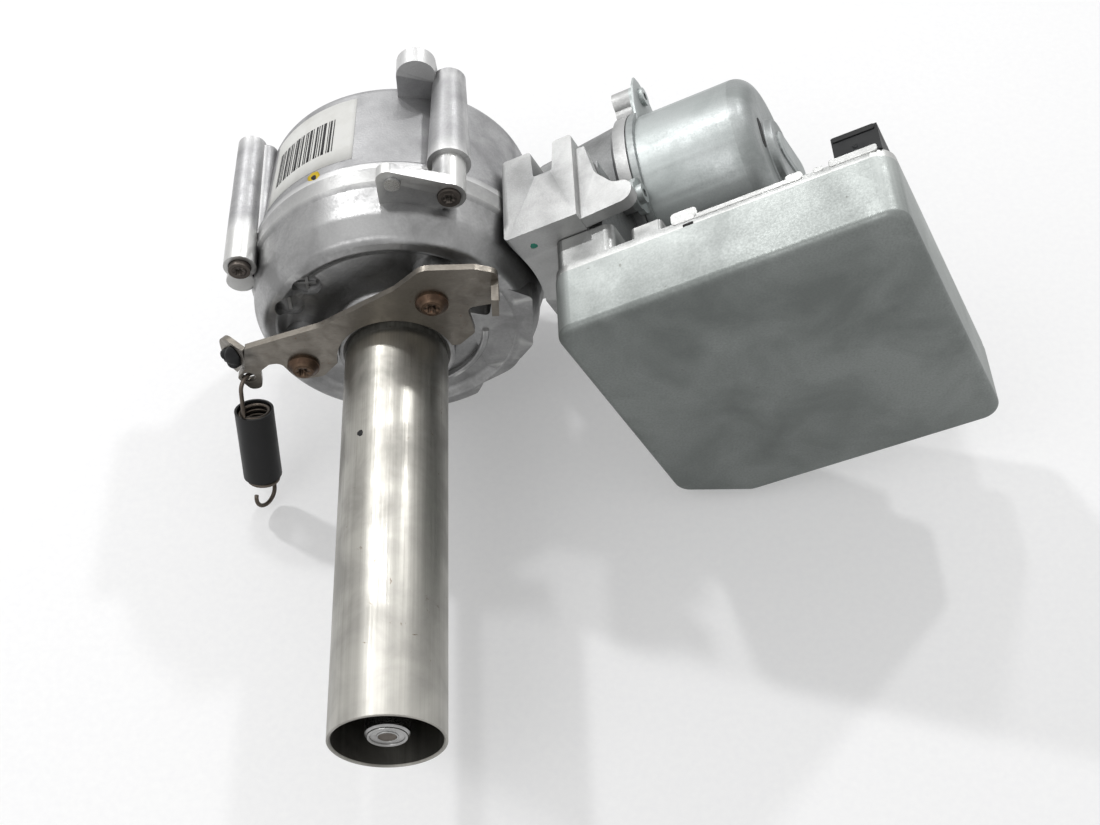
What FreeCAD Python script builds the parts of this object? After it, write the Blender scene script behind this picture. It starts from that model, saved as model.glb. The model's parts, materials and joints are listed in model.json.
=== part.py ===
import FreeCAD, Part
import Sketcher
import math
import os

# Steering column with electric power assist, lying on its side.
# Row frame: +Y runs along the column, from the open end of the jacket tube towards the gear
# housing, +X is to the right and +Z is up. The origin is the centre of the tube's open end.
# The drive (worm, motor, control unit) is turned about the column by the clock angle, so its
# pieces are drawn square in a frame of their own and then placed with that rotation.

# Driving sizes in millimetres and degrees. Each one is a named cell of the sheet.
SIZES = {
    # whole column
    "clock_angle": 27.2,
    "fit_gap": 0.05,
    "running_gap": 0.3,
    # jacket tube
    "tube_od": 45.0,
    "tube_wall": 1.5,
    "tube_chamfer": 0.6,
    "tube_seat": 12.0,
    "seat_step": 0.8,
    # front casting, along the column
    "collar_front": 184.0,
    "collar_radius": 25.5,
    "collar_flare": 1.0,
    "face_front": 198.0,
    "joint_plane": 232.0,
    "drum_radius": 65.0,
    "flange_lip": 1.5,
    "flange_depth": 8.0,
    "casting_wall": 6.0,
    "spigot_depth": 6.0,
    # rear casting, along the column
    "rim_rear": 290.0,
    "rim_radius": 61.0,
    "boss_rear": 309.0,
    "boss_radius": 33.0,
    "rear_wall": 6.0,
    # screw towers
    "bolt_circle": 72.0,
    "first_tower": 68.6,
    "tower_step": 90.0,
    "tower_radius": 7.2,
    "main_tower_radius": 9.4,
    "tower_tip_radius": 6.5,
    "screw_radius": 3.0,
    "screw_head_radius": 4.8,
    "screw_head": 5.0,
    "boss_face": 213.0,
    # worm gear
    "gear_module": 2.5,
    "wheel_teeth": 40.0,
    "worm_starts": 2.0,
    "worm_pitch_radius": 7.5,
    "wheel_width": 14.0,
    "gear_plane": 275.0,
    "root_depth": 3.0,
    "pressure_angle": 20.0,
    "worm_tooth": 3.2,
    "wheel_tooth": 3.4,
    "worm_length": 46.0,
    "rim_thickness": 11.0,
    # shafts
    "shaft_radius": 12.5,
    "shaft_inset": 2.2,
    "stub_radius": 8.5,
    "torsion_radius": 4.0,
    "output_end": 345.0,
    "spline_radius": 8.7,
    # bearings, bore radius, outer radius and width
    "front_bearing_outer": 23.5,
    "front_bearing_width": 12.0,
    "main_bearing_outer": 26.0,
    "main_bearing_width": 12.0,
    "worm_bearing_bore": 4.0,
    "worm_bearing_outer": 11.0,
    "worm_bearing_width": 7.0,
    "ring_thickness": 2.6,
    # motor
    "motor_radius": 40.0,
    "motor_wall": 2.0,
    "motor_front": 114.0,
    "motor_end": 168.0,
    "motor_round": 9.0,
    "motor_screw_circle": 51.0,
    "magnet_thickness": 6.0,
    "air_gap": 0.8,
    "rotor_length": 30.0,
    # control unit
    "unit_left": 79.8,
    "unit_width": 148.7,
    "unit_height": 147.9,
    "unit_top": 10.0,
    "unit_face": 154.0,
    "lid_depth": 31.5,
    "lid_wall": 1.2,
    "unit_corner": 9.0,
    "unit_chamfer_x": 30.0,
    "unit_chamfer_z": 17.0,
    "base_rim": 4.0,
    "board_thickness": 1.6,
    # bracket and spring
    "bracket_front": 181.0,
    "bracket_thickness": 3.0,
    "arm_bend": 45.0,
    "bracket_screw_radius": 4.0,
    "button_head_radius": 7.0,
    "button_head": 4.0,
    "date_radius": 6.3,
    "ear_hole": 4.2,
    "ear_depth": 7.0,
    "clip_radius": 3.0,
    "spring_tilt": 19.5,
    "spring_wire": 2.0,
    "coil_radius": 7.7,
    "coil_length": 38.0,
    "sleeve_wall": 1.0,
    "hook_drop": 19.0,
    "hook_turn": 55.0,
    "hook_hole": 3.1,
    "hook_seat": -0.2,
    "tail_drop": 15.0,
}

DOC = FreeCAD.newDocument("SteeringColumn")
SHEET = DOC.addObject("Spreadsheet::Sheet", "Sizes")
PIECES = []


class Dim:
    """A size that knows its value and the sheet formula that it comes from."""

    def __init__(self, value, formula=None):
        self.value = float(value)
        self.formula = formula if formula else repr(float(value))

    def __add__(self, other):
        other = dim(other)
        return Dim(self.value + other.value, f"({self.formula} + {other.formula})")

    def __sub__(self, other):
        other = dim(other)
        return Dim(self.value - other.value, f"({self.formula} - {other.formula})")

    def __mul__(self, other):
        other = dim(other)
        return Dim(self.value * other.value, f"({self.formula} * {other.formula})")

    def __truediv__(self, other):
        other = dim(other)
        return Dim(self.value / other.value, f"({self.formula} / {other.formula})")

    def __neg__(self):
        return Dim(-self.value, f"(0 - {self.formula})")

    def __radd__(self, other):
        return dim(other) + self

    def __rsub__(self, other):
        return dim(other) - self

    def __rmul__(self, other):
        return dim(other) * self

    def __rtruediv__(self, other):
        return dim(other) / self


def dim(thing):
    """Give a number, a size or a cell's name as a size."""
    if isinstance(thing, Dim):
        return thing
    if isinstance(thing, str):
        return Dim(SIZES[thing], "Sizes." + thing)
    return Dim(thing)


def cosine(angle):
    angle = dim(angle)
    return Dim(math.cos(math.radians(angle.value)), f"cos({angle.formula})")


def sine(angle):
    angle = dim(angle)
    return Dim(math.sin(math.radians(angle.value)), f"sin({angle.formula})")


def tangent(angle):
    angle = dim(angle)
    return Dim(math.tan(math.radians(angle.value)), f"tan({angle.formula})")


def root(square):
    square = dim(square)
    return Dim(math.sqrt(square.value), f"sqrt({square.formula})")


def polar(radius, angle):
    """A point of a circle about the sketch's origin."""
    return (dim(radius) * cosine(angle), dim(radius) * sine(angle))


def fill_sheet():
    """Write the driving sizes into the sheet, each with its alias."""
    for row, (name, value) in enumerate(SIZES.items(), start=1):
        SHEET.set(f"A{row}", name)
        SHEET.set(f"B{row}", repr(value))
        SHEET.setAlias(f"B{row}", name)
    DOC.recompute()


def bind(thing, prop, size):
    thing.setExpression(prop, dim(size).formula)


PLANES = {
    "XY": ("XY_Plane", 1.0),
    "XZ": ("XZ_Plane", -1.0),
    "YZ": ("YZ_Plane", 1.0),
}
ALONG = {
    "X": FreeCAD.Rotation(FreeCAD.Vector(0, 1, 0), 90),
    "Y": FreeCAD.Rotation(FreeCAD.Vector(1, 0, 0), -90),
    "Z": FreeCAD.Rotation(),
}


def trimmed(corners, i):
    """The two ends of the rounding at corner i, its centre and whether it turns left."""
    here = FreeCAD.Vector(corners[i][0].value, corners[i][1].value, 0)
    before = corners[i - 1]
    after = corners[(i + 1) % len(corners)]
    back = (FreeCAD.Vector(before[0].value, before[1].value, 0) - here).normalize()
    ahead = (FreeCAD.Vector(after[0].value, after[1].value, 0) - here).normalize()
    radius = corners[i][2].value
    half = back.getAngle(ahead) / 2
    reach = radius / math.tan(half)
    centre = here + (back + ahead).normalize() * (radius / math.sin(half))
    return here + back * reach, here + ahead * reach, centre, back.cross(ahead).z < 0


class Piece:
    """One sub-part: a body with its own label, drawn in the row frame or the drive's frame."""

    def __init__(self, label, group=False):
        self.body = DOC.addObject("PartDesign::Body", label)
        self.body.Label = label
        if group:
            self.body.AllowCompound = True
        self.count = 0
        PIECES.append(self.body)

    def place(self, x=0, y=0, z=0, turned=False):
        """Set the body's place, turned with the drive or square to the row frame."""
        if turned:
            self.body.Placement = FreeCAD.Placement(
                FreeCAD.Vector(), FreeCAD.Rotation(FreeCAD.Vector(0, 1, 0), -SIZES["clock_angle"]))
            bind(self.body, "Placement.Rotation.Angle", "clock_angle")
            self.body.Placement = FreeCAD.Placement(
                FreeCAD.Vector(), FreeCAD.Rotation(FreeCAD.Vector(0, -1, 0), SIZES["clock_angle"]))
        bind(self.body, "Placement.Base.x", x)
        bind(self.body, "Placement.Base.y", y)
        bind(self.body, "Placement.Base.z", z)
        return self

    def name(self, kind):
        self.count += 1
        return f"{self.body.Name}_{kind}_{self.count}"

    def plane(self, role):
        for feature in self.body.Origin.OriginFeatures:
            if feature.Role == role:
                return feature
        raise ValueError(role)

    def sketch(self, plane, height=0, at=(0, 0)):
        """An empty sketch on an origin plane, moved along its normal and in its own plane."""
        role, sign = PLANES[plane]
        sketch = self.body.newObject("Sketcher::SketchObject", self.name("sketch"))
        sketch.AttachmentSupport = (self.plane(role), [""])
        sketch.MapMode = "FlatFace"
        bind(sketch, "AttachmentOffset.Base.z", dim(height) * sign)
        bind(sketch, "AttachmentOffset.Base.x", at[0])
        bind(sketch, "AttachmentOffset.Base.y", at[1])
        return sketch

    def draw(self, sketch, corners):
        """A closed outline through the corners (x, y) or (x, y, rounding)."""
        corners = [tuple(dim(part) for part in corner) for corner in corners]
        number = len(corners)
        ends = []
        for i, corner in enumerate(corners):
            if len(corner) == 3:
                ends.append(trimmed(corners, i))
            else:
                spot = FreeCAD.Vector(corner[0].value, corner[1].value, 0)
                ends.append((spot, spot, None, False))
        lines = [Part.LineSegment(ends[i][1], ends[(i + 1) % number][0]) for i in range(number)]
        first = sketch.addGeometry(lines, False)[0]
        rules = []
        sizes = []

        def rule(*parts, size=None):
            if size is not None:
                sizes.append((len(rules), size))
                parts = parts + (size.value,)
            rules.append(Sketcher.Constraint(*parts))

        for i, corner in enumerate(corners):
            before = first + (i - 1) % number
            after = first + i
            if len(corner) == 3:
                start, end, centre, left = ends[i]
                low, high = (start, end) if left else (end, start)
                begin = math.atan2(low.y - centre.y, low.x - centre.x)
                finish = math.atan2(high.y - centre.y, high.x - centre.x)
                circle = Part.Circle(centre, FreeCAD.Vector(0, 0, 1), corner[2].value)
                arc = sketch.addGeometry(Part.ArcOfCircle(circle, begin, finish), False)
                node = sketch.addGeometry(
                    Part.Point(FreeCAD.Vector(corner[0].value, corner[1].value, 0)), True)
                rule("Tangent", before, 2, arc, 1 if left else 2)
                rule("Tangent", arc, 2 if left else 1, after, 1)
                rule("Radius", arc, size=corner[2])
                rule("PointOnObject", node, 1, before)
                rule("PointOnObject", node, 1, after)
                held = node
            else:
                rule("Coincident", before, 2, after, 1)
                held = after
            rule("DistanceX", -1, 1, held, 1, size=corner[0])
            rule("DistanceY", -1, 1, held, 1, size=corner[1])
        numbers = sketch.addConstraint(rules)
        for index, size in sizes:
            sketch.setExpression(f"Constraints[{numbers[index]}]", size.formula)
        return sketch

    def ring(self, sketch, radius, centre=(0, 0)):
        """A circle in a sketch."""
        x, y, radius = dim(centre[0]), dim(centre[1]), dim(radius)
        middle = FreeCAD.Vector(x.value, y.value, 0)
        index = sketch.addGeometry(Part.Circle(middle, FreeCAD.Vector(0, 0, 1), radius.value), False)
        numbers = sketch.addConstraint([
            Sketcher.Constraint("Radius", index, radius.value),
            Sketcher.Constraint("DistanceX", -1, 1, index, 3, x.value),
            Sketcher.Constraint("DistanceY", -1, 1, index, 3, y.value)])
        for number, size in zip(numbers, (radius, x, y)):
            sketch.setExpression(f"Constraints[{number}]", size.formula)
        return sketch

    def turn(self, corners, axis="V_Axis", at=(0, 0), cut=False, plane="XY", height=0):
        """Revolve an outline about the sketch's own axis, to add or to cut material."""
        sketch = self.draw(self.sketch(plane, height=height, at=at), corners)
        kind = "Groove" if cut else "Revolution"
        feature = self.body.newObject(f"PartDesign::{kind}", self.name(kind.lower()))
        feature.Profile = sketch
        feature.ReferenceAxis = (sketch, [axis])
        feature.Angle = 360.0
        return feature

    def pad(self, corners, plane, start, length, at=(0, 0), cut=False, holes=()):
        """Extrude an outline along the plane's positive axis, from start over length."""
        role, sign = PLANES[plane]
        sketch = self.draw(self.sketch(plane, height=start, at=at), corners)
        for radius, centre in holes:
            self.ring(sketch, radius, centre)
        kind = "Pocket" if cut else "Pad"
        feature = self.body.newObject(f"PartDesign::{kind}", self.name(kind.lower()))
        feature.Profile = sketch
        bind(feature, "Length", length)
        feature.Reversed = (sign < 0) != cut
        return feature

    def rod(self, radius, start, length, along, at=(0, 0), cut=False, tip=None):
        """Add or cut a cylinder, or a cone with a tip radius, along an axis from start."""
        kind = "Subtractive" if cut else "Additive"
        form = "Cone" if tip is not None else "Cylinder"
        feature = self.body.newObject(f"PartDesign::{kind}{form}", self.name(form.lower()))
        if tip is None:
            bind(feature, "Radius", radius)
        else:
            bind(feature, "Radius1", radius)
            bind(feature, "Radius2", tip)
        bind(feature, "Height", length)
        feature.Placement = FreeCAD.Placement(FreeCAD.Vector(), ALONG[along])
        spot = {"X": (start, at[0], at[1]), "Y": (at[0], start, at[1]), "Z": (at[0], at[1], start)}
        for name, value in zip("xyz", spot[along]):
            bind(feature, f"Placement.Base.{name}", value)
        return feature

    def hexagon(self, radius, start, length, along, at=(0, 0), cut=True, sides=6):
        """Add or cut a prism along an axis, such as a driver recess."""
        kind = "Subtractive" if cut else "Additive"
        feature = self.body.newObject(f"PartDesign::{kind}Prism", self.name("prism"))
        feature.Polygon = sides
        bind(feature, "Circumradius", radius)
        bind(feature, "Height", length)
        feature.Placement = FreeCAD.Placement(FreeCAD.Vector(), ALONG[along])
        spot = {"X": (start, at[0], at[1]), "Y": (at[0], start, at[1]), "Z": (at[0], at[1], start)}
        for name, value in zip("xyz", spot[along]):
            bind(feature, f"Placement.Base.{name}", value)
        return feature

    def block(self, x, y, z, cut=False):
        """Add or cut a box between two values on each axis."""
        kind = "Subtractive" if cut else "Additive"
        feature = self.body.newObject(f"PartDesign::{kind}Box", self.name("box"))
        for name, prop, (low, high) in (("x", "Length", x), ("y", "Width", y), ("z", "Height", z)):
            bind(feature, f"Placement.Base.{name}", low)
            bind(feature, prop, dim(high) - dim(low))
        return feature

    def repeat(self, feature, number, axis, angle=360):
        """Copy a feature round one of the body's own axes."""
        pattern = self.body.newObject("PartDesign::PolarPattern", self.name("pattern"))
        pattern.Originals = [feature]
        pattern.Axis = (self.plane(axis), [""])
        pattern.Angle = angle
        pattern.Occurrences = int(number)
        self.body.Tip = pattern
        return pattern

    def soften(self, radius, wanted, kind="Fillet"):
        """Round or bevel the edges for which wanted(edge) is true."""
        DOC.recompute()
        base = self.body.Tip
        names = [f"Edge{i}" for i, edge in enumerate(base.Shape.Edges, start=1) if wanted(edge)]
        feature = self.body.newObject(f"PartDesign::{kind}", self.name(kind.lower()))
        feature.Base = (base, names)
        bind(feature, "Radius" if kind == "Fillet" else "Size", radius)
        return feature


# Sizes worked out from the driving ones.
fill_sheet()
TUBE_RADIUS = dim("tube_od") / 2
TUBE_END = dim("face_front") - 1
TUBE_SHOULDER = dim("bracket_front") - 0.5
TUBE_SEAT = TUBE_RADIUS - dim("seat_step")
WHEEL_PITCH = dim("gear_module") * dim("wheel_teeth") / 2
CENTRE_DISTANCE = WHEEL_PITCH + dim("worm_pitch_radius")
WHEEL_TIP = WHEEL_PITCH + dim("gear_module")
WHEEL_ROOT = WHEEL_PITCH - dim("root_depth")
WORM_TIP = dim("worm_pitch_radius") + dim("gear_module")
WORM_ROOT = dim("worm_pitch_radius") - dim("root_depth")
AXIAL_PITCH = dim("gear_module") * math.pi
CAVITY_RADIUS = WHEEL_TIP + 2
FLANGE_RADIUS = dim("drum_radius") + dim("flange_lip")
CAVITY_END = dim("rim_rear") - dim("rear_wall")
SHAFT = dim("shaft_radius")
BEARING_FRONT = dim("face_front") + 2
BEARING_MID = dim("gear_plane") - dim("wheel_width") / 2 - dim("main_bearing_width") - 1
BEARING_REAR = dim("gear_plane") + dim("wheel_width") / 2 + 9
SENSOR_FRONT = BEARING_FRONT + dim("front_bearing_width") + 3
CARRIER_RADIUS = dim("main_bearing_outer") + dim("casting_wall")
LID_REAR = dim("unit_face") + dim("lid_depth")
WORM_Z = -CENTRE_DISTANCE
WORM_FAR_BEARING = -(dim("worm_length") / 2 + dim("worm_bearing_width") + 4)
WORM_NEAR_BEARING = dim("worm_length") / 2 + 8
TOWERS = [dim("first_tower") + dim("tower_step") * i for i in range(3)]
BUSH = dim(8)
COUPLING_START = WORM_NEAR_BEARING + dim("worm_bearing_width") + 10
COUPLING_END = COUPLING_START + 24
MOTOR_BEARING = dim("motor_front") - 6
LAP_START = dim(105)
LAP_END = dim(135)
TORSION_START = dim(158)
CUP_START = BEARING_MID - 2
CUP_END = BEARING_MID + dim("main_bearing_width") + 1
CUP_BORE = SHAFT - 3.2
HUB_BORE = SHAFT + 2.5
HUB_START = dim("gear_plane") - dim("wheel_width") / 2
HUB_END = dim("gear_plane") + dim("wheel_width") / 2
TORSION_END = BEARING_REAR + dim("main_bearing_width")
SPLINES = 24
ROTOR_SLOTS = 12
WHEEL_PHASE = dim(0)
MOTOR_EARS = [29.0, 130.0, 260.0]
BRACKET_SCREWS = [(17.5, 37.5), (-40.9, -1.7)]
DATE_MARKS = [(-36.5, 30.5), (-45.5, 17.5)]
EAR_RADIUS = dim(74.3)
EAR_ANGLE = dim(80.7)
HOOK_SPOT = (-66.0, 182.5, -9.3)
ARM_X = dim(-66)
CLIP_SPOT = (dim(9.5), dim(-2.5))


def tube():
    """Drawn steel jacket tube, bevelled at its open end and necked where it enters the casting."""
    piece = Piece("jacket_tube")
    inner = TUBE_RADIUS - dim("tube_wall")
    neck = TUBE_SEAT - dim("tube_wall")
    bevel = dim("tube_chamfer")
    piece.turn([(inner + bevel, 0), (TUBE_RADIUS - bevel / 2, 0), (TUBE_RADIUS, bevel / 2),
                (TUBE_RADIUS, TUBE_SHOULDER), (TUBE_SEAT, TUBE_SHOULDER), (TUBE_SEAT, TUBE_END),
                (neck, TUBE_END), (neck, TUBE_SHOULDER + 1), (inner, TUBE_SHOULDER - 1), (inner, bevel)])


def front_casting():
    """Column side of the gear housing: collar, dished face, drum wall, flange and spigot."""
    piece = Piece("front_housing")
    drum = dim("drum_radius")
    face = dim("face_front")
    joint = dim("joint_plane")
    wall = dim("casting_wall")
    carrier = CARRIER_RADIUS
    front_seat = dim("front_bearing_outer")
    main_seat = dim("main_bearing_outer")
    collar = dim("collar_radius")
    piece.turn([
        (TUBE_RADIUS + dim("collar_flare"), dim("collar_front")),
        (collar, dim("collar_front"), 1),
        (collar + 1, face - 1, 3),
        (drum * 0.76, face + 1.5, 3),
        (drum * 0.81, face - 1.5, 2),
        (drum * 0.90, face - 0.5, 4),
        (drum - 1.5, face + 10, 8),
        (drum, joint - dim("flange_depth") - 2),
        (FLANGE_RADIUS, joint - dim("flange_depth")),
        (FLANGE_RADIUS, joint),
        (CAVITY_RADIUS + 1.5 - dim("fit_gap"), joint),
        (CAVITY_RADIUS + 1.5 - dim("fit_gap"), joint + dim("spigot_depth")),
        (CAVITY_RADIUS - 3, joint + dim("spigot_depth")),
        (CAVITY_RADIUS - 3, face + 14, 4),
        (carrier, face + 12, 3),
        (carrier, BEARING_MID + dim("main_bearing_width")),
        (main_seat, BEARING_MID + dim("main_bearing_width")),
        (main_seat, BEARING_MID),
        (main_seat - 2, BEARING_MID),
        (main_seat - 2, SENSOR_FRONT),
        (front_seat, SENSOR_FRONT - 1),
        (front_seat, BEARING_FRONT),
        (TUBE_RADIUS - dim("tube_wall"), BEARING_FRONT),
        (TUBE_RADIUS - dim("tube_wall"), TUBE_END),
        (TUBE_SEAT, TUBE_END),
        (TUBE_SEAT, TUBE_END - dim("tube_seat")),
    ])
    piece.rod(dim("tower_radius"), dim("boss_face"), joint - dim("boss_face"), "Y",
              at=polar("bolt_circle", TOWERS[0]))
    for angle in TOWERS[1:]:
        piece.rod(dim("tower_radius"), dim("boss_face") + 1, joint - dim("boss_face") - 1, "Y",
                  at=polar("bolt_circle", angle))
    # ear with the locating pin, beside the first tower
    pin = polar(dim("bolt_circle") + 3.5, dim("first_tower") + 19)
    low = polar(dim("drum_radius") - 6, dim("first_tower") + 24)
    inner = polar(dim("drum_radius") - 6, "first_tower")
    outer = polar(dim("bolt_circle") + 12, dim("first_tower") + 24)
    far = polar(dim("bolt_circle") + 7, "first_tower")
    piece.pad([low, inner, far, (outer[0], outer[1], 5)], "XZ", dim("boss_face"), 5.5)
    # foot below the second tower
    foot = polar(dim("bolt_circle") - 2, TOWERS[1] + 11)
    piece.rod(6.5, dim("boss_face") + 5, joint - dim("boss_face") - 5, "Y", at=foot)
    # bosses that carry the bracket
    for spot in BRACKET_SCREWS:
        piece.rod(8.5, dim("bracket_front") + dim("bracket_thickness"),
                  face - dim("bracket_front"), "Y", at=spot)
    # flat lobe towards the control unit
    piece.pad([(46, 28, 6), (drum - 5, 20, 4), (drum - 5, -12, 6), (drum - 11, -22, 5), (40, -30, 4),
               (30, 10, 4)], "XZ", face - 1, 22)
    # step cut below the lobe
    piece.pad([(drum - 28, -38, 4), (drum, -20), (drum + 20, -60), (drum - 31, -70),
               (drum - 33, -52, 4)], "XZ", face - 10, 24, cut=True)
    # raised arc rib beside the collar
    rib = piece.turn([(37.5, face + 2), (37.5, face - 2.5, 1), (40.5, face - 2.5, 1),
                      (40.5, face + 2)])
    rib.Angle = 70.0
    # pocket in the lobe and the two round date recesses
    piece.pad([(30, 12, 2), (41, 9, 2), (43, 24, 2), (35, 27, 2)], "XZ", face - 6, 12, cut=True)
    for x, z in DATE_MARKS:
        piece.rod("date_radius", face - 5, 7.9, "Y", at=(x, z), cut=True)
        piece.block((x - 0.7, x + 0.7), (face + 2, face + 3.4), (z - 4, z + 4))
    x, z = DATE_MARKS[0]
    piece.block((x - 4, x + 4), (face + 2, face + 3.4), (z - 0.7, z + 0.7))
    # holes for the bracket screws, the housing screws and the pin
    for spot in BRACKET_SCREWS:
        piece.rod(dim("bracket_screw_radius"), dim("bracket_front"), 16, "Y", at=spot, cut=True)
    for angle in TOWERS:
        piece.rod(dim("screw_radius"), dim("boss_face") - 1, 30, "Y",
                  at=polar("bolt_circle", angle), cut=True)
        piece.rod(dim("screw_head_radius") + 0.3, dim("boss_face") - 1, 4, "Y",
                  at=polar("bolt_circle", angle), cut=True)
    piece.rod(3.5, dim("boss_face") - 1, 5, "Y", at=pin, cut=True)


def rear_casting():
    """Gear side of the housing: tapered drum, towers, ear, worm tunnel and bearing boss."""
    piece = Piece("rear_housing").place(turned=True)
    joint = dim("joint_plane")
    rim = dim("rim_rear")
    clock = dim("clock_angle")
    seat = dim("main_bearing_outer")
    piece.turn([
        (FLANGE_RADIUS, joint),
        (FLANGE_RADIUS, joint + 3),
        (dim("drum_radius"), joint + 5),
        (dim("rim_radius"), rim, 5),
        (dim("boss_radius") + 1, rim, 4),
        (dim("boss_radius"), dim("boss_rear"), 2),
        (SHAFT + 1, dim("boss_rear")),
        (SHAFT + 1, BEARING_REAR + dim("main_bearing_width")),
        (seat, BEARING_REAR + dim("main_bearing_width")),
        (seat, CAVITY_END),
        (CAVITY_RADIUS, CAVITY_END, 2),
        (CAVITY_RADIUS, joint + dim("spigot_depth") + 1),
        (CAVITY_RADIUS + 1.5, joint + dim("spigot_depth") + 1),
        (CAVITY_RADIUS + 1.5, joint),
    ])
    # worm tunnel, its far end and its flange towards the drive
    centre = (dim("gear_plane"), WORM_Z)
    bore = dim("worm_bearing_outer")
    far = WORM_FAR_BEARING - 3
    near = WORM_NEAR_BEARING + dim("worm_bearing_width")
    piece.rod(bore + 4, far, -far, "X", at=centre)
    piece.rod(bore + 5, 0, near + 1, "X", at=centre)
    piece.turn([(near - 12, 0), (near - 12, bore + 5), (near - 5, bore + 14, 3), (near + 4, bore + 14),
                (near + 4, 0)], axis="H_Axis", at=(0, dim("gear_plane")), height=WORM_Z)
    # towers and their webs
    for i, angle in enumerate(TOWERS):
        radius = dim("main_tower_radius") if i == 0 else dim("tower_radius")
        tip = dim("main_tower_radius") - 2 if i == 0 else dim("tower_tip_radius")
        tall = rim - joint - 5 if i == 0 else rim - joint
        piece.rod(radius, joint, tall, "Y", at=polar("bolt_circle", angle - clock), tip=tip)
        web = polar(dim("bolt_circle") - 7, angle - clock)
        piece.rod(5, joint, rim - joint - 2, "Y", at=web)
    # round-ended ear at the rear rim
    ear = polar(EAR_RADIUS, EAR_ANGLE - clock)
    piece.rod(8.7, rim - 9, 9, "Y", at=ear)
    side = polar(8.7, dim(90) - clock + 90)
    piece.pad([(ear[0] + side[0], ear[1] + side[1]), (ear[0] - side[0], ear[1] - side[1]),
               polar(dim("rim_radius") - 3, EAR_ANGLE - clock - 14),
               polar(dim("rim_radius") - 3, EAR_ANGLE - clock + 6)], "XZ", rim - 9, 9)
    # the wheel's room, opened again where the tunnel crosses it
    piece.rod(CAVITY_RADIUS, joint + dim("spigot_depth") + 1, CAVITY_END - joint - dim("spigot_depth") - 1,
              "Y", cut=True)
    # bores: worm tunnel stepped for its bearings, and the tower screw holes
    piece.rod(WORM_TIP + 1.5, WORM_FAR_BEARING, near - WORM_FAR_BEARING, "X", at=centre, cut=True)
    piece.rod(bore, far - 1, dim("worm_bearing_width") + 4, "X", at=centre, cut=True)
    piece.rod(bore, WORM_NEAR_BEARING, dim("worm_bearing_width") + 8, "X", at=centre, cut=True)
    for angle in TOWERS:
        piece.rod(dim("screw_radius"), joint - 1, 26, "Y",
                  at=polar("bolt_circle", angle - clock), cut=True)
    piece.rod("ear_hole", rim - dim("ear_depth"), dim("ear_depth") + 1, "Y", at=ear, cut=True)


def on_drive(piece):
    """Place a piece in the drive's frame, its X axis along the worm and its origin under the column."""
    clock = dim("clock_angle")
    return piece.place(CENTRE_DISTANCE * sine(clock), dim("gear_plane"),
                       -(CENTRE_DISTANCE * cosine(clock)), turned=True)


def bearing(outer, inner, bore, seat, start, width, axis="V_Axis"):
    """A sealed ball bearing: outer ring with its seals on one piece, inner ring on the other."""
    bore, seat, start, width = dim(bore), dim(seat), dim(start), dim(width)
    thick = dim("ring_thickness")
    lip = bore + thick + dim("running_gap")
    rings = (
        (outer, [(seat, start), (seat, start + width), (lip, start + width), (lip, start + width - 1),
                 (seat - thick, start + width - 1), (seat - thick, start + 1), (lip, start + 1),
                 (lip, start)]),
        (inner, [(bore, start), (bore + thick, start), (bore + thick, start + width),
                 (bore, start + width)]))
    for piece, corners in rings:
        if axis == "H_Axis":
            corners = [(along, radius) for radius, along in corners]
        piece.turn(corners, axis=axis)


def column_bearings():
    """Front bearing of the input shaft and the two bearings beside the worm wheel."""
    bearing(Piece("front_bearing_outer"), Piece("front_bearing_inner"), SHAFT,
            "front_bearing_outer", BEARING_FRONT, "front_bearing_width")
    outer = Piece("main_bearing_outers", group=True)
    inner = Piece("main_bearing_inners", group=True)
    for start in (BEARING_MID, BEARING_REAR):
        bearing(outer, inner, SHAFT, "main_bearing_outer", start, "main_bearing_width")


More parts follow.
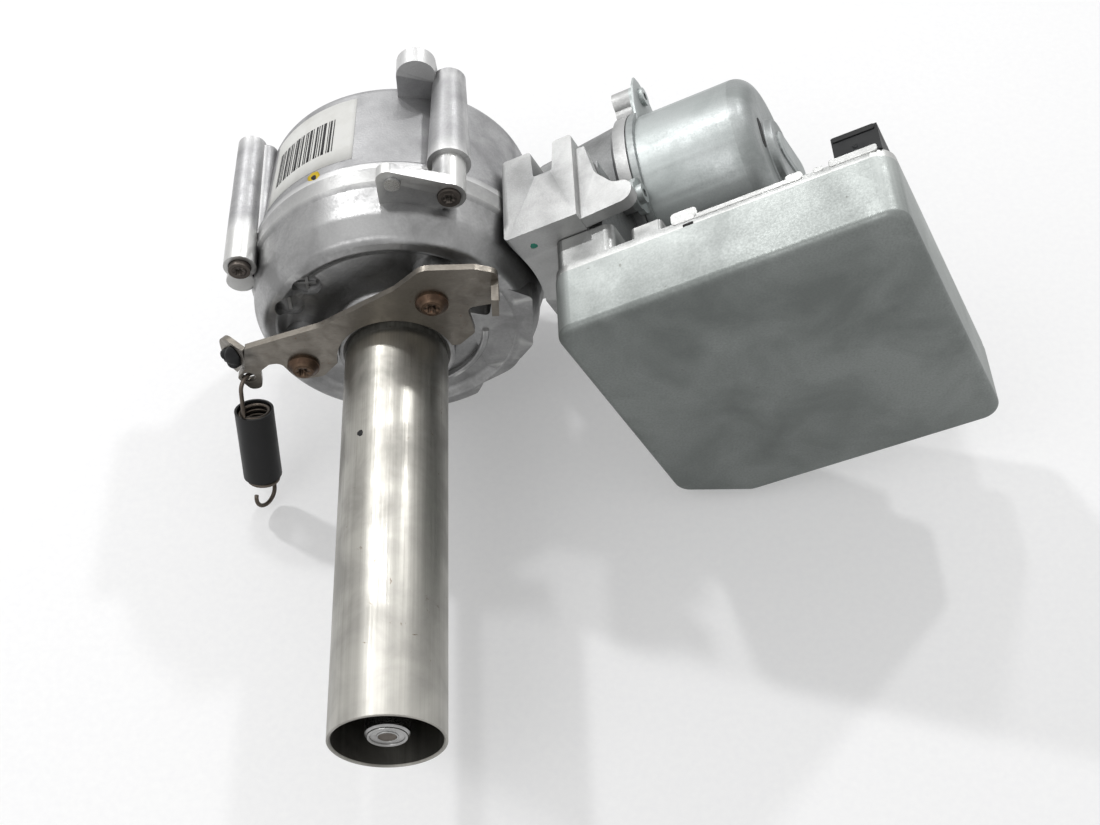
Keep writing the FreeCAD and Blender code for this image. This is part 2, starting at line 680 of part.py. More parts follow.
def shafts():
    """Steering shaft, input shaft, torsion bar and output shaft, one inside the other."""
    gap = dim("fit_gap")
    torsion = dim("torsion_radius")
    stub = dim("stub_radius")
    inset = dim("shaft_inset")
    steering = Piece("steering_shaft")
    steering.turn([(0, inset + 3), (3.5, inset), (stub - 1, inset), (stub, inset + 1),
                   (stub, inset + 9), (stub + 1.5, inset + 10.5), (stub + 1.5, LAP_END),
                   (stub - 1.5, LAP_END), (stub - 1.5, LAP_START), (0, LAP_START)])
    for side in (-1, 1):
        low, high = (stub - 2.2, stub + 3) if side > 0 else (-stub - 3, 2.2 - stub)
        steering.block((low, high), (inset + 12, inset + 24), (-2.5, 2.5), cut=True)
    entry = Piece("input_shaft")
    entry.turn([(0, LAP_START + 2), (stub - 1.5 - gap, LAP_START + 2), (stub - 1.5 - gap, LAP_END + 1),
                (SHAFT - 2.5, LAP_END + 2), (SHAFT - 2.5, BEARING_FRONT - 1.5), (SHAFT, BEARING_FRONT - 1),
                (SHAFT, SENSOR_FRONT), (SHAFT - 0.5, SENSOR_FRONT + 0.5), (SHAFT - 0.5, CUP_START - 1),
                (CUP_BORE - dim("running_gap"), CUP_START - 0.5),
                (CUP_BORE - dim("running_gap"), CUP_END - 1.5), (torsion + 0.8, CUP_END - 1.5),
                (torsion + 0.8, TORSION_START - 1), (0, TORSION_START - 1)])
    bar = Piece("torsion_bar")
    fat = torsion + 0.8 - gap
    bar.turn([(0, TORSION_START), (fat, TORSION_START), (fat, TORSION_START + 14), (torsion, TORSION_START + 17),
              (torsion, TORSION_END - 17), (fat, TORSION_END - 14), (fat, TORSION_END), (0, TORSION_END)])
    out = Piece("output_shaft")
    neck = dim("spline_radius")
    end = dim("output_end")
    out.turn([(CUP_BORE, CUP_START), (SHAFT, CUP_START), (SHAFT, HUB_START), (HUB_BORE, HUB_START),
              (HUB_BORE, HUB_END), (SHAFT + 4, HUB_END), (SHAFT + 4, BEARING_REAR),
              (SHAFT, BEARING_REAR), (SHAFT, dim("boss_rear") + 3), (neck + 1, dim("boss_rear") + 5, 1),
              (neck, end - 28), (neck, end - 1), (neck - 1, end), (0, end), (0, TORSION_END + 1),
              (torsion + 0.8, TORSION_END + 1), (torsion + 0.8, CUP_END), (CUP_BORE, CUP_END)])
    out.turn([(neck - 1.6, end - 11), (neck - 1.6, end - 5), (neck + 3, end - 5), (neck + 3, end - 11)],
             cut=True)
    groove = out.hexagon(0.6, end - 24, 26, "Y", at=polar(neck + 0.15, 180 / SPLINES), sides=4)
    out.repeat(groove, SPLINES, "Y_Axis")


def sensor():
    """Torque sensor: coil carrier in the casting and the sleeve on the input shaft."""
    room = dim("main_bearing_outer") - 2
    coil = Piece("sensor_coil")
    start = SENSOR_FRONT + 2
    end = CUP_START - 4
    coil.turn([(room, start), (room, end), (room - 7, end), (room - 7, start + 3), (room - 4, start + 3),
               (room - 4, start)])
    sleeve = Piece("sensor_sleeve")
    sleeve.turn([(SHAFT - 0.5, start + 2), (SHAFT + 1.5, start + 2), (SHAFT + 1.5, end - 2),
                 (SHAFT - 0.5, end - 2)])
    seal = Piece("output_seal")
    back = dim("boss_rear")
    seal.turn([(SHAFT + dim("fit_gap"), back - 4), (SHAFT + 1, back - 4), (SHAFT + 1, back),
               (SHAFT + dim("fit_gap"), back)])
    ring = Piece("joint_seal")
    low = dim("joint_plane") + dim("spigot_depth")
    ring.turn([(CAVITY_RADIUS, low), (CAVITY_RADIUS + 1.4, low), (CAVITY_RADIUS + 1.4, low + 1),
               (CAVITY_RADIUS, low + 1)])


def wheel():
    """Worm wheel: steel hub and a nylon rim with helical teeth."""
    width = dim("wheel_width")
    plane = dim("gear_plane")
    start = plane - width / 2
    end = plane + width / 2
    seat = WHEEL_TIP - dim("rim_thickness")
    hub = Piece("wheel_hub")
    hub.turn([(HUB_BORE, start), (HUB_BORE + 5, start), (HUB_BORE + 8, start + 4, 2), (seat - 6, start + 4, 2),
              (seat - 4, start), (seat, start), (seat, end), (seat - 4, end), (seat - 6, end - 4, 2),
              (HUB_BORE + 8, end - 4, 2), (HUB_BORE + 5, end), (HUB_BORE, end)])
    rim = Piece("worm_wheel_rim")
    rim.turn([(seat, start), (WHEEL_TIP - 0.8, start), (WHEEL_TIP, start + 0.8), (WHEEL_TIP, end - 0.8),
              (WHEEL_TIP - 0.8, end), (seat, end)])
    slope = tangent("pressure_angle")
    gap = (AXIAL_PITCH - dim("wheel_tooth")) / 2
    outside = WHEEL_TIP + 1
    wide = gap + (outside - WHEEL_PITCH) * slope
    narrow = gap + (WHEEL_ROOT - WHEEL_PITCH) * slope
    lead_slope = dim("worm_starts") * dim("gear_module") / (dim("worm_pitch_radius") * 2)
    sections = []
    for side in (-1, 1):
        reach = width / 2 + 1
        twist = reach * lead_slope / WHEEL_PITCH * (180 / math.pi) * side
        facing = twist + WHEEL_PHASE
        sketch = rim.sketch("XZ", height=plane + reach * side)
        corners = []
        for radius, half in ((outside, wide), (WHEEL_ROOT, narrow), (WHEEL_ROOT, -narrow), (outside, -wide)):
            x = radius * sine(-facing) + half * cosine(facing)
            z = -(radius * cosine(facing)) + half * sine(-facing)
            corners.append((x, z))
        sections.append(rim.draw(sketch, corners))
    cut = rim.body.newObject("PartDesign::SubtractiveLoft", "tooth_gap")
    cut.Profile = sections[0]
    cut.Sections = [sections[1]]
    cut.Ruled = True
    rim.repeat(cut, dim("wheel_teeth").value, "Y_Axis")


def worm():
    """Steel worm on its shaft, with as many threads as it has starts."""
    piece = on_drive(Piece("worm_shaft"))
    journal = dim("worm_bearing_bore")
    half = dim("worm_length") / 2
    piece.turn([(WORM_FAR_BEARING - 1, 0), (WORM_FAR_BEARING - 1, journal), (-half - 4, journal),
                (-half - 3, WORM_ROOT + 1.5), (-half, WORM_ROOT), (half, WORM_ROOT),
                (half + 3, WORM_ROOT + 1.5), (WORM_NEAR_BEARING - 0.5, WORM_ROOT + 1.5),
                (WORM_NEAR_BEARING - 0.5, journal), (COUPLING_START + 9, journal), (COUPLING_START + 9, 0)],
               axis="H_Axis")
    slope = tangent("pressure_angle")
    thick = dim("worm_tooth") / 2
    low = WORM_ROOT - 0.4
    wide = thick + (dim("worm_pitch_radius") - low) * slope
    narrow = thick - (WORM_TIP - dim("worm_pitch_radius")) * slope
    lead = AXIAL_PITCH * dim("worm_starts")
    for side in (1, -1):
        sketch = piece.draw(piece.sketch("XZ", at=(-lead, 0)), [
            (-wide, low * side), (wide, low * side), (narrow, WORM_TIP * side), (-narrow, WORM_TIP * side)])
        thread = piece.body.newObject("PartDesign::AdditiveHelix", piece.name("thread"))
        thread.Profile = sketch
        thread.ReferenceAxis = (sketch, ["H_Axis"])
        thread.Mode = 0
        bind(thread, "Pitch", lead)
        bind(thread, "Height", lead * 2)
        thread.Reversed = False


def worm_bearings():
    """Two small sealed bearings on the worm and one in the motor's flange."""
    outer = on_drive(Piece("worm_bearing_outers", group=True))
    inner = on_drive(Piece("worm_bearing_inners", group=True))
    for start in (WORM_FAR_BEARING, WORM_NEAR_BEARING, MOTOR_BEARING):
        bearing(outer, inner, "worm_bearing_bore", "worm_bearing_outer", start, "worm_bearing_width",
                axis="H_Axis")
    plug = on_drive(Piece("tunnel_plug"))
    bore = dim("worm_bearing_outer")
    plug.turn([(WORM_FAR_BEARING - 3, 0), (WORM_FAR_BEARING - 3, bore), (WORM_FAR_BEARING, bore),
               (WORM_FAR_BEARING, bore - 3), (WORM_FAR_BEARING - 1.5, bore - 3),
               (WORM_FAR_BEARING - 1.5, 0)], axis="H_Axis")


def rotor():
    """Motor shaft, laminated core, windings, commutator and coupling."""
    journal = dim("worm_bearing_bore")
    front = dim("motor_front")
    end = dim("motor_end")
    core_start = front + 13
    core_end = core_start + dim("rotor_length")
    radius = dim("motor_radius") - dim("motor_wall") - dim("magnet_thickness") - dim("air_gap")
    shaft = on_drive(Piece("motor_shaft"))
    shaft.turn([(COUPLING_END - 9, 0), (COUPLING_END - 9, journal), (front + 1.5, journal),
                (front + 1.5, journal + 1), (end - 4, journal + 1), (end - 4, journal - 1),
                (end + 3, journal - 1), (end + 3, 0)], axis="H_Axis")
    core = on_drive(Piece("rotor_core"))
    core.turn([(core_start, journal + 1), (core_start, radius), (core_end, radius),
               (core_end, journal + 1)], axis="H_Axis")
    slot = core.block((core_start - 1, core_end + 1), (-1.5, 1.5), (radius - 12, radius + 1), cut=True)
    core.repeat(slot, ROTOR_SLOTS, "X_Axis")
    coils = on_drive(Piece("rotor_windings", group=True))
    for start, length in ((core_start - 5, 5), (core_end, 4)):
        coils.turn([(start, radius - 16), (start, radius - 3), (start + length, radius - 2),
                    (start + length, radius - 17)], axis="H_Axis")
    commutator = on_drive(Piece("commutator"))
    commutator.turn([(front + 2, journal + 1), (front + 2, 11), (core_start, 11),
                     (core_start, journal + 1)], axis="H_Axis")
    coupling = on_drive(Piece("shaft_coupling"))
    coupling.turn([(COUPLING_START, journal), (COUPLING_START, 12, 1.5), (COUPLING_END, 12, 1.5),
                   (COUPLING_END, journal)], axis="H_Axis")


def motor():
    """Deep drawn can, flange with three ears, magnets, brush plate, bush and screws."""
    front = dim("motor_front")
    end = dim("motor_end")
    radius = dim("motor_radius")
    wall = dim("motor_wall")
    inner = radius - wall
    can = on_drive(Piece("motor_can"))
    can.turn([(front, inner), (front, radius), (end, radius, "motor_round"), (end, 17, 1), (end + 4, 16, 1.5),
              (end + 4, 0), (end + 3, 0), (end + 3, BUSH), (end - 4, BUSH), (end - 4, BUSH + 2),
              (end - wall, BUSH + 2), (end - wall, inner, dim("motor_round") - wall)], axis="H_Axis")
    flange = on_drive(Piece("motor_flange"))
    seat = dim("worm_bearing_outer")
    flange.turn([(front - 4, seat + 4), (front - 4, radius + 2.5, 1), (front, radius + 2.5), (front, seat + 4),
                 (front + 2, seat + 4), (front + 2, seat), (front - 7, seat), (front - 7, seat + 4)],
                axis="H_Axis")
    screws = on_drive(Piece("motor_screws", group=True))
    for angle in MOTOR_EARS:
        spot = polar("motor_screw_circle", angle)
        flange.rod(6.5, front - 4, 3, "X", at=spot)
        flange.rod(8.5, front - 4, 3, "X", at=polar(dim("motor_screw_circle") - 6, angle))
        flange.rod(2.6, front - 5, 5, "X", at=spot, cut=True)
        screws.rod(4.5, front - 1, 3, "X", at=spot)
        screws.rod(2.5, front - 12, 11, "X", at=spot)
        screws.hexagon(2.2, front + 0.4, 2, "X", at=spot)
    magnets = on_drive(Piece("motor_magnets", group=True))
    start = front + 12
    length = dim("rotor_length") + 2
    arc = magnets.turn([(start, inner - dim("magnet_thickness")), (start, inner), (start + length, inner),
                        (start + length, inner - dim("magnet_thickness"))], axis="H_Axis")
    arc.Angle = 62.0
    magnets.repeat(arc, 4, "X_Axis")
    plate = on_drive(Piece("brush_plate"))
    plate.turn([(front + 2, 16), (front + 2, inner), (front + 4, inner), (front + 4, 16)], axis="H_Axis")
    for side in (-1, 1):
        low, high = (11.4, 22) if side > 0 else (-22, -11.4)
        plate.block((front + 3, front + 7.5), (-3, 3), (low, high))
    bush = on_drive(Piece("rear_bush"))
    bush.turn([(end - 3.5, dim("worm_bearing_bore") - 1 + dim("fit_gap")), (end - 3.5, BUSH), (end + 2.5, BUSH),
               (end + 2.5, dim("worm_bearing_bore") - 1 + dim("fit_gap"))], axis="H_Axis")


def drive_mount():
    """Casting between the worm tunnel and the motor, with the fork, the web and the lug."""
    piece = Piece("drive_mount").place(turned=True)
    plane = dim("gear_plane")
    front = dim("motor_front")
    near = WORM_NEAR_BEARING + dim("worm_bearing_width") + 4
    flange = dim("worm_bearing_outer") + 14
    room = dim("worm_bearing_outer") + 4
    radius = dim("motor_radius")
    top = dim("unit_top") + 10
    face = LID_REAR + 19.5
    piece.turn([(near, room), (near, flange), (near + 8, flange + 1), (near + 18, radius - 4.5, 5),
                (front - 12, radius), (front - 10, radius + 2.5), (front - 4, radius + 2.5),
                (front - 4, room)], axis="H_Axis", at=(0, plane), height=WORM_Z)
    for angle in MOTOR_EARS:
        spot = polar("motor_screw_circle", angle)
        piece.rod(6.5, front - 13, 9, "X", at=(plane + spot[0], WORM_Z + spot[1]))
        web = polar(dim("motor_screw_circle") - 7, angle)
        piece.rod(6, front - 13, 9, "X", at=(plane + web[0], WORM_Z + web[1]))
    left = dim("unit_left") - 15
    piece.pad([(left, face, 2), (left + 34, face), (left + 34, face + 48, 1.5), (left + 25, face + 48, 1.5),
               (left + 24, face + 31, 1), (left + 15, face + 31, 1), (left + 14, face + 47, 1.5),
               (left, face + 47, 1.5)], "XY", top - 13, 13)
    piece.pad([(left - 2, face), (left + 40, face), (left + 40, face + 40), (left - 2, face + 40)],
              "XY", WORM_Z + 10, top - 13 - WORM_Z - 10)
    piece.pad([(left + 30, face, 1), (left + 58, face + 2, 6), (left + 58, face + 13, 5.5),
               (left + 50, face + 14, 7), (left + 42, face + 24, 6), (left + 38, face + 42), (left + 30, face + 42)],
              "XY", top - 10, 6)
    piece.block((left + 4, left + 34), (face + 6, face + 41), (WORM_Z + radius + 2, top - 17), cut=True)
    piece.rod(room, near - 1, front - near, "X", at=(plane, WORM_Z), cut=True)
    piece.rod(FLANGE_RADIUS + dim("running_gap"), face - 1, 90, "Y", cut=True)
    for angle in MOTOR_EARS:
        spot = polar("motor_screw_circle", angle)
        piece.rod(2.6, front - 14, 11, "X", at=(plane + spot[0], WORM_Z + spot[1]), cut=True)


def unit_outline(inset):
    """Outline of the control unit with one bevelled corner, moved inwards by inset."""
    inset = dim(inset)
    left = dim("unit_left") + inset
    right = dim("unit_left") + dim("unit_width") - inset
    top = dim("unit_top") - inset
    low = dim("unit_top") - dim("unit_height") + inset
    bevel_x = dim("unit_chamfer_x")
    bevel_z = dim("unit_chamfer_z")
    corner = dim("unit_corner") - inset
    slant = root(1 / (bevel_x * bevel_x) + 1 / (bevel_z * bevel_z)) * inset
    return [(left, top, corner), (left, low + bevel_z * (1 + slant) - inset * bevel_z / bevel_x, corner),
            (left + bevel_x * (1 + slant) - inset * bevel_x / bevel_z, low, corner), (right, low, corner),
            (right, top, corner)]


def control_unit():
    """Pressed steel lid, cast base, circuit board, capacitors, connector and screws."""
    face = dim("unit_face")
    wall = dim("lid_wall")
    depth = dim("lid_depth")
    left = dim("unit_left")
    right = left + dim("unit_width")
    top = dim("unit_top")
    low = top - dim("unit_height")
    lid = Piece("unit_lid").place(turned=True)
    lid.pad(unit_outline(0), "XZ", face, depth)
    lid.soften(3.2, lambda edge: abs(edge.BoundBox.YMax - face.value) < 0.01)
    lid.pad(unit_outline(wall), "XZ", face + wall, depth, cut=True)
    base = Piece("unit_base").place(turned=True)
    rim = dim("base_rim")
    base.pad(unit_outline(0.4), "XZ", LID_REAR, rim)
    base.pad([(left + 12, top - 60, 4), (left + 12, low + 34, 4), (left + 44, low + 14, 6),
              (right - 10, low + 14, 6), (right - 10, top - 60, 4)], "XZ", LID_REAR + rim, 26)
    base.pad([(left + 3, top - 1, 4), (left + 3, top - 58), (left + 30, top - 58), (left + 30, top - 1, 4)],
             "XZ", LID_REAR + rim, 15)
    base.pad([(left + 38, top - 0.5, 2), (left + 38, top - 14, 2), (left + 52, top - 14, 2),
              (left + 52, top - 0.5, 2)], "XZ", LID_REAR + rim, 6)
    for i in range(7):
        x = left + 52 + i * 12
        base.block((x, x + 8), (LID_REAR + rim + 12, LID_REAR + rim + 30), (low + 20, top - 66), cut=True)
    base.pad(unit_outline(6), "XZ", LID_REAR - 1, rim / 2 + 1, cut=True)
    board = Piece("circuit_board").place(turned=True)
    level = face + 16
    thick = dim("board_thickness")
    board.pad(unit_outline(4), "XZ", level, thick)
    for i in range(3):
        board.block((left + 50 + i * 26, left + 64 + i * 26), (level - 2.5, level), (top - 40, top - 24))
    board.block((left + 40, left + 58), (level - 3, level), (low + 50, low + 68))
    posts = Piece("board_spacers", group=True).place(turned=True)
    for x, z in ((left + 14, top - 12), (right - 14, top - 12), (right - 14, low + 14), (left + 42, low + 14)):
        posts.rod(3.5, level + thick, LID_REAR + rim / 2 - level - thick, "Y", at=(x, z))
    cans = Piece("capacitors", group=True).place(turned=True)
    for i in range(3):
        cans.rod(6, face + 3, level - face - 3, "Y", at=(right - 26 - i * 15, low + 30))
    plug = Piece("unit_connector").place(turned=True)
    back = LID_REAR + rim
    plug.pad([(right - 22.5, top - 1), (right - 22.5, top - 30, 1.5), (right - 3.5, top - 30, 1.5),
              (right - 3.5, top - 1)], "XZ", back, 14)
    plug.pad([(right - 20.5, top - 3, 1), (right - 20.5, top - 28, 1), (right - 5.5, top - 28, 1),
              (right - 5.5, top - 3, 1)], "XZ", back + 3, 12, cut=True)
    for i in range(2):
        for k in range(4):
            x = right - 16 + i * 6
            z = top - 8 - k * 5
            plug.block((x - 0.5, x + 0.5), (back + 2, back + 8.5), (z - 0.5, z + 0.5))
    screws = Piece("unit_screws", group=True).place(turned=True)
    for x, z in ((left + 75, top - 7), (right - 5, top - 80), (left + 60, low + 7), (left + 6, top - 90)):
        screws.rod(3.8, back, 2.6, "Y", at=(x, z))


def fasteners():
    """Housing screws in the towers, bracket screws and the locating pin."""
    face = dim("boss_face")
    screws = Piece("housing_screws", group=True)
    head = dim("screw_head_radius")
    shank = dim("screw_radius") - dim("fit_gap")
    for angle in TOWERS:
        spot = polar("bolt_circle", angle)
        screws.rod(head, face - 1.5, 4.5, "Y", at=spot)
        screws.rod(shank, face + 3, dim("joint_plane") - face + 18, "Y", at=spot)
        screws.hexagon(2.5, face - 2, 3, "Y", at=spot)
    buttons = Piece("bracket_screws", group=True)
    front = dim("bracket_front")
    tall = dim("button_head")
    for spot in BRACKET_SCREWS:
        buttons.rod("button_head_radius", front - 1.4, 1.4, "Y", at=spot)
        buttons.rod(dim("button_head_radius") - 2.6, front - tall, tall - 1.4, "Y", at=spot,
                    tip=dim("button_head_radius") - 0.2)
        buttons.rod(dim("bracket_screw_radius") - dim("fit_gap"), front, 15, "Y", at=spot)
        buttons.hexagon(2.9, front - tall - 1, 3.4, "Y", at=spot)
    pin = Piece("locating_pin")
    pin.rod(dim(3.5) - dim("fit_gap"), face - 1.2, 5.2, "Y",
            at=polar(dim("bolt_circle") + 3.5, dim("first_tower") + 19))


def bracket():
    """Stamped steel bracket round the collar, with a bent tab and the arm for the spring."""
    piece = Piece("column_bracket")
    front = dim("bracket_front")
    thick = dim("bracket_thickness")
    piece.pad([(46, 36, 2), (45.5, 54, 4), (36, 57, 4), (14, 57, 8), (2, 45, 10), (-31.4, 23, 14),
               (-60, 12, 5), (-65, 10, 1), (-67, -4, 1), (-71, -9.5, 2), (-66, -18, 3), (-61, -17, 3),
               (-60, -5, 3), (-56, -1, 3),
               (-51, 0, 4), (-44, -12, 5), (-33, -10, 4), (-22, 4),
               (0, 20), (20, 8), (28, 9, 2), (35, 17, 3), (32, 33, 3)], "XZ", front, thick)
    piece.rod(dim("collar_radius") + 0.5, front - 1, thick + 2, "Y", cut=True)
    for spot in BRACKET_SCREWS:
        piece.rod(dim("bracket_screw_radius") + 0.3, front - 1, thick + 2, "Y", at=spot, cut=True)
    piece.block((42.6, 45.6), (front - 11, front + 1), (40, 50))
    # the arm's end is bent back, so its outline lies on a plane turned about the vertical
    bend = piece.sketch("XZ", height=front, at=(ARM_X, 0))
    piece.draw(bend, [(0.2, 8.5, 1), (0.2, -4), (4, -5, 2), (8.5, -13, 1), (17.5, -12.5, 7),
                      (17.5, 7, 8), (9, 7.5, 8)])
    piece.ring(bend, "clip_radius", CLIP_SPOT)
    bend.AttachmentOffset = FreeCAD.Placement(
        bend.AttachmentOffset.Base, FreeCAD.Rotation(FreeCAD.Vector(0, 1, 0), 180 - SIZES["arm_bend"]))
    ear = piece.body.newObject("PartDesign::Pad", "arm_end")
    ear.Profile = bend
    bind(ear, "Length", thick - 0.5)
    piece.rod("hook_hole", front - 1, thick + 1, "Y", at=(HOOK_SPOT[0], HOOK_SPOT[2]), cut=True)


def spring():
    """Tension spring with a hook at each end, and the sleeve over its coils, hung from the bracket."""
    wire = dim("spring_wire") / 2
    coil = dim("coil_radius")
    drop = dim("hook_drop")
    bottom = -(drop + dim("coil_length"))
    tip = bottom - dim("tail_drop")
    loop = coil - wire * 1.5
    piece = Piece("tilt_spring")
    hang(piece)
    piece.turn([(coil - wire * 2, -drop), (coil, -drop), (coil, bottom), (coil - wire * 2, bottom)],
               axis="V_Axis", plane="XZ")
    top_centre = -(loop + dim("hook_seat"))
    low_centre = tip + wire + loop
    for height, over, leg_end, side in ((top_centre, True, -drop - 2, -1), (low_centre, False, bottom + 2, 1)):
        bow = piece.sketch("XY", height=height)
        bow.AttachmentOffset = FreeCAD.Placement(
            bow.AttachmentOffset.Base, FreeCAD.Rotation(FreeCAD.Vector(0, 0, 1), SIZES["hook_turn"]))
        piece.ring(bow, wire, (loop * side, 0))
        arc = piece.body.newObject("PartDesign::Revolution", piece.name("hook"))
        arc.Profile = bow
        arc.ReferenceAxis = (bow, ["V_Axis"])
        arc.Angle = 200.0
        arc.Reversed = over == (side > 0)
        spot = (loop * cosine("hook_turn") * side, loop * sine("hook_turn") * side)
        low, high = (leg_end, height) if over else (height, leg_end)
        piece.rod(wire, low, dim(high) - low, "Z", at=spot)
    sleeve = Piece("spring_sleeve")
    hang(sleeve)
    sleeve.turn([(coil + 0.1, -drop + 0.5), (coil + 0.1 + dim("sleeve_wall"), -drop + 0.5),
                 (coil + 0.1 + dim("sleeve_wall"), bottom + 3), (coil + 0.1, bottom + 3)],
                axis="V_Axis", plane="XZ")


def hang(piece):
    """Place a piece of the spring: its origin in the bracket's hole, leaning forward as it hangs."""
    piece.body.Placement = FreeCAD.Placement(
        FreeCAD.Vector(*HOOK_SPOT), FreeCAD.Rotation(FreeCAD.Vector(1, 0, 0), -SIZES["spring_tilt"]))


def clip():
    """Black plastic push clip in the arm's end."""
    piece = Piece("bracket_clip").place(ARM_X - cosine("arm_bend") * CLIP_SPOT[0],
                                        dim("bracket_front") + sine("arm_bend") * CLIP_SPOT[0], CLIP_SPOT[1])
    outward = FreeCAD.Vector(-sine("arm_bend").value, -cosine("arm_bend").value, 0)
    piece.body.Placement = FreeCAD.Placement(
        piece.body.Placement.Base, FreeCAD.Rotation(FreeCAD.Vector(0, 0, 1), outward))
    piece.rod(5.5, 0, 2.2, "Z")
    piece.rod(dim("clip_radius") - dim("fit_gap"), -6, 6, "Z")
    piece.rod(dim("clip_radius") + 0.6, -4.5, 1.5, "Z")


def finish():
    """Recompute, test every object and write one file for each piece."""
    DOC.recompute()
    for thing in DOC.Objects:
        if "Invalid" in thing.State or "Error" in thing.State:
            raise RuntimeError(f"{thing.Label} failed: {thing.State}")
    os.makedirs("parts", exist_ok=True)
    for body in PIECES:
        shape = body.Shape
        if shape.isNull() or not shape.isValid():
            raise RuntimeError(f"{body.Label} has no valid shape")
        shape.exportStep(f"parts/{body.Label}.step")
        print(f"{body.Label:24s} solids {len(shape.Solids)} volume {shape.Volume:10.1f}")


tube()
front_casting()
rear_casting()
column_bearings()
shafts()
sensor()
wheel()
worm()
worm_bearings()
rotor()
motor()
drive_mount()
control_unit()
fasteners()
bracket()
clip()
spring()
finish()
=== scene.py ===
import json
import logging
import math
from collections.abc import Callable, Sequence
from dataclasses import dataclass
from enum import Enum

import bpy
from mathutils import Matrix, Vector


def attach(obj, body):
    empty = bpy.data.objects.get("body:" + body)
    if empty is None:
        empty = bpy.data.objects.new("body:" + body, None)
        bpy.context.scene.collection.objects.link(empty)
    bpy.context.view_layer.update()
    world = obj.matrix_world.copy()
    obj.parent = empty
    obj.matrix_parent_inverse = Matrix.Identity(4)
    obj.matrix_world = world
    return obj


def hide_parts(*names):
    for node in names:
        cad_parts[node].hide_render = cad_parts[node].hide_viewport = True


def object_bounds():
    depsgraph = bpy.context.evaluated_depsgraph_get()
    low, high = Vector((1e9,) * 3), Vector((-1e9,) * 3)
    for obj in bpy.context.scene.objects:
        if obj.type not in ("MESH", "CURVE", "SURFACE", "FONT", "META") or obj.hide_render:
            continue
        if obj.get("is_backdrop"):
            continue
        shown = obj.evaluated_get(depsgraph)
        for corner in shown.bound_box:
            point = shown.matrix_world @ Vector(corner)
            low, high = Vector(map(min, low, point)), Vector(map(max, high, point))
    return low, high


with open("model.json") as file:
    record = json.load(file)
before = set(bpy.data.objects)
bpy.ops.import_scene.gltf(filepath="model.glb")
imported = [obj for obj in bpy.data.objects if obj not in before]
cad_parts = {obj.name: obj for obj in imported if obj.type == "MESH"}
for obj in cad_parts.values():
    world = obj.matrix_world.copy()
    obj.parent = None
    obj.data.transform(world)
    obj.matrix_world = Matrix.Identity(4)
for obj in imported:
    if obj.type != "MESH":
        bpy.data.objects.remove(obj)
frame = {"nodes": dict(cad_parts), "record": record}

LOG = logging.getLogger("steering_column")

MM = 0.001
# distance in millimetres at which a wire's two ends are one
MEETING = 1e-4
# the drive's turn, and the places of the source's screws and spring in millimetres
CLOCK = math.radians(27.2)
BOLT_CIRCLE = 72.0
TOWER_ANGLES = (68.6, 158.6, 248.6)
TOWER_HEAD_Y = 211.5
BRACKET_HEADS = ((17.5, 37.5), (-40.9, -1.7))
BRACKET_HEAD_Y = 177.0
SPRING_HOOK = Vector((-66.0, 182.5, -9.3))
SPRING_TILT = math.radians(19.5)
# outer radius of the ring, and the recess's radius at its lobes and between them
TOWER_RECESS = (3.3, 2.1, 1.5)
BRACKET_RECESS = (4.1, 2.7, 1.95)

# pointiness where an edge starts and where it is full
POINTED = (0.52, 0.60)
# openness where the painted corner shade starts and where it is full
ENCLOSED = (0.75, 0.25)
COAT_ROUGHNESS = 0.15
PLASTIC_SHINE = 0.25
# dark colour painted as shade into corners and recesses, and how strongly it shows
CORNER_SHADE = "#45433F"
CORNER_SHADE_SHARE = 0.28

Colour = tuple[float, float, float, float]
Flat = tuple[float, float]
Point = tuple[float, float, float]
Socket = bpy.types.NodeSocket
Material = bpy.types.Material
Piece = bpy.types.Object
Spot = Callable[[float, float, float], Vector]


class Grain(Enum):
    """Direction of a metal's fine grain, as frequencies along the three axes."""

    EVEN = (1.0, 1.0, 1.0)
    DRAWN = (1.0, 0.012, 1.0)
    ROLLED = (0.25, 1.0, 1.0)


def linear(code: str) -> Colour:
    """Turn an sRGB colour code into the linear colour that a shader takes.

    Args:
        code: Six hexadecimal digits after a hash sign.

    Returns:
        Red, green and blue in linear light, and an alpha of one.
    """
    parts = [int(code[i:i + 2], 16) / 255 for i in (1, 3, 5)]
    red, green, blue = (c / 12.92 if c <= 0.04045 else ((c + 0.055) / 1.055) ** 2.4 for c in parts)
    return (red, green, blue, 1.0)


def add_node(tree: bpy.types.NodeTree, kind: str, sockets: dict | None = None,
             **settings: object) -> bpy.types.Node:
    """Add a node with its settings, and link or set its sockets.

    Args:
        tree: The node tree that takes the node.
        kind: The node's type name.
        sockets: Socket name or number, and either another node's output or a plain value.
        **settings: Attributes of the node itself.

    Returns:
        The new node.
    """
    node = tree.nodes.new(kind)
    for name, value in settings.items():
        setattr(node, name, value)
    for name, value in (sockets or {}).items():
        if isinstance(value, Socket):
            tree.links.new(value, node.inputs[name])
        else:
            node.inputs[name].default_value = value
    return node


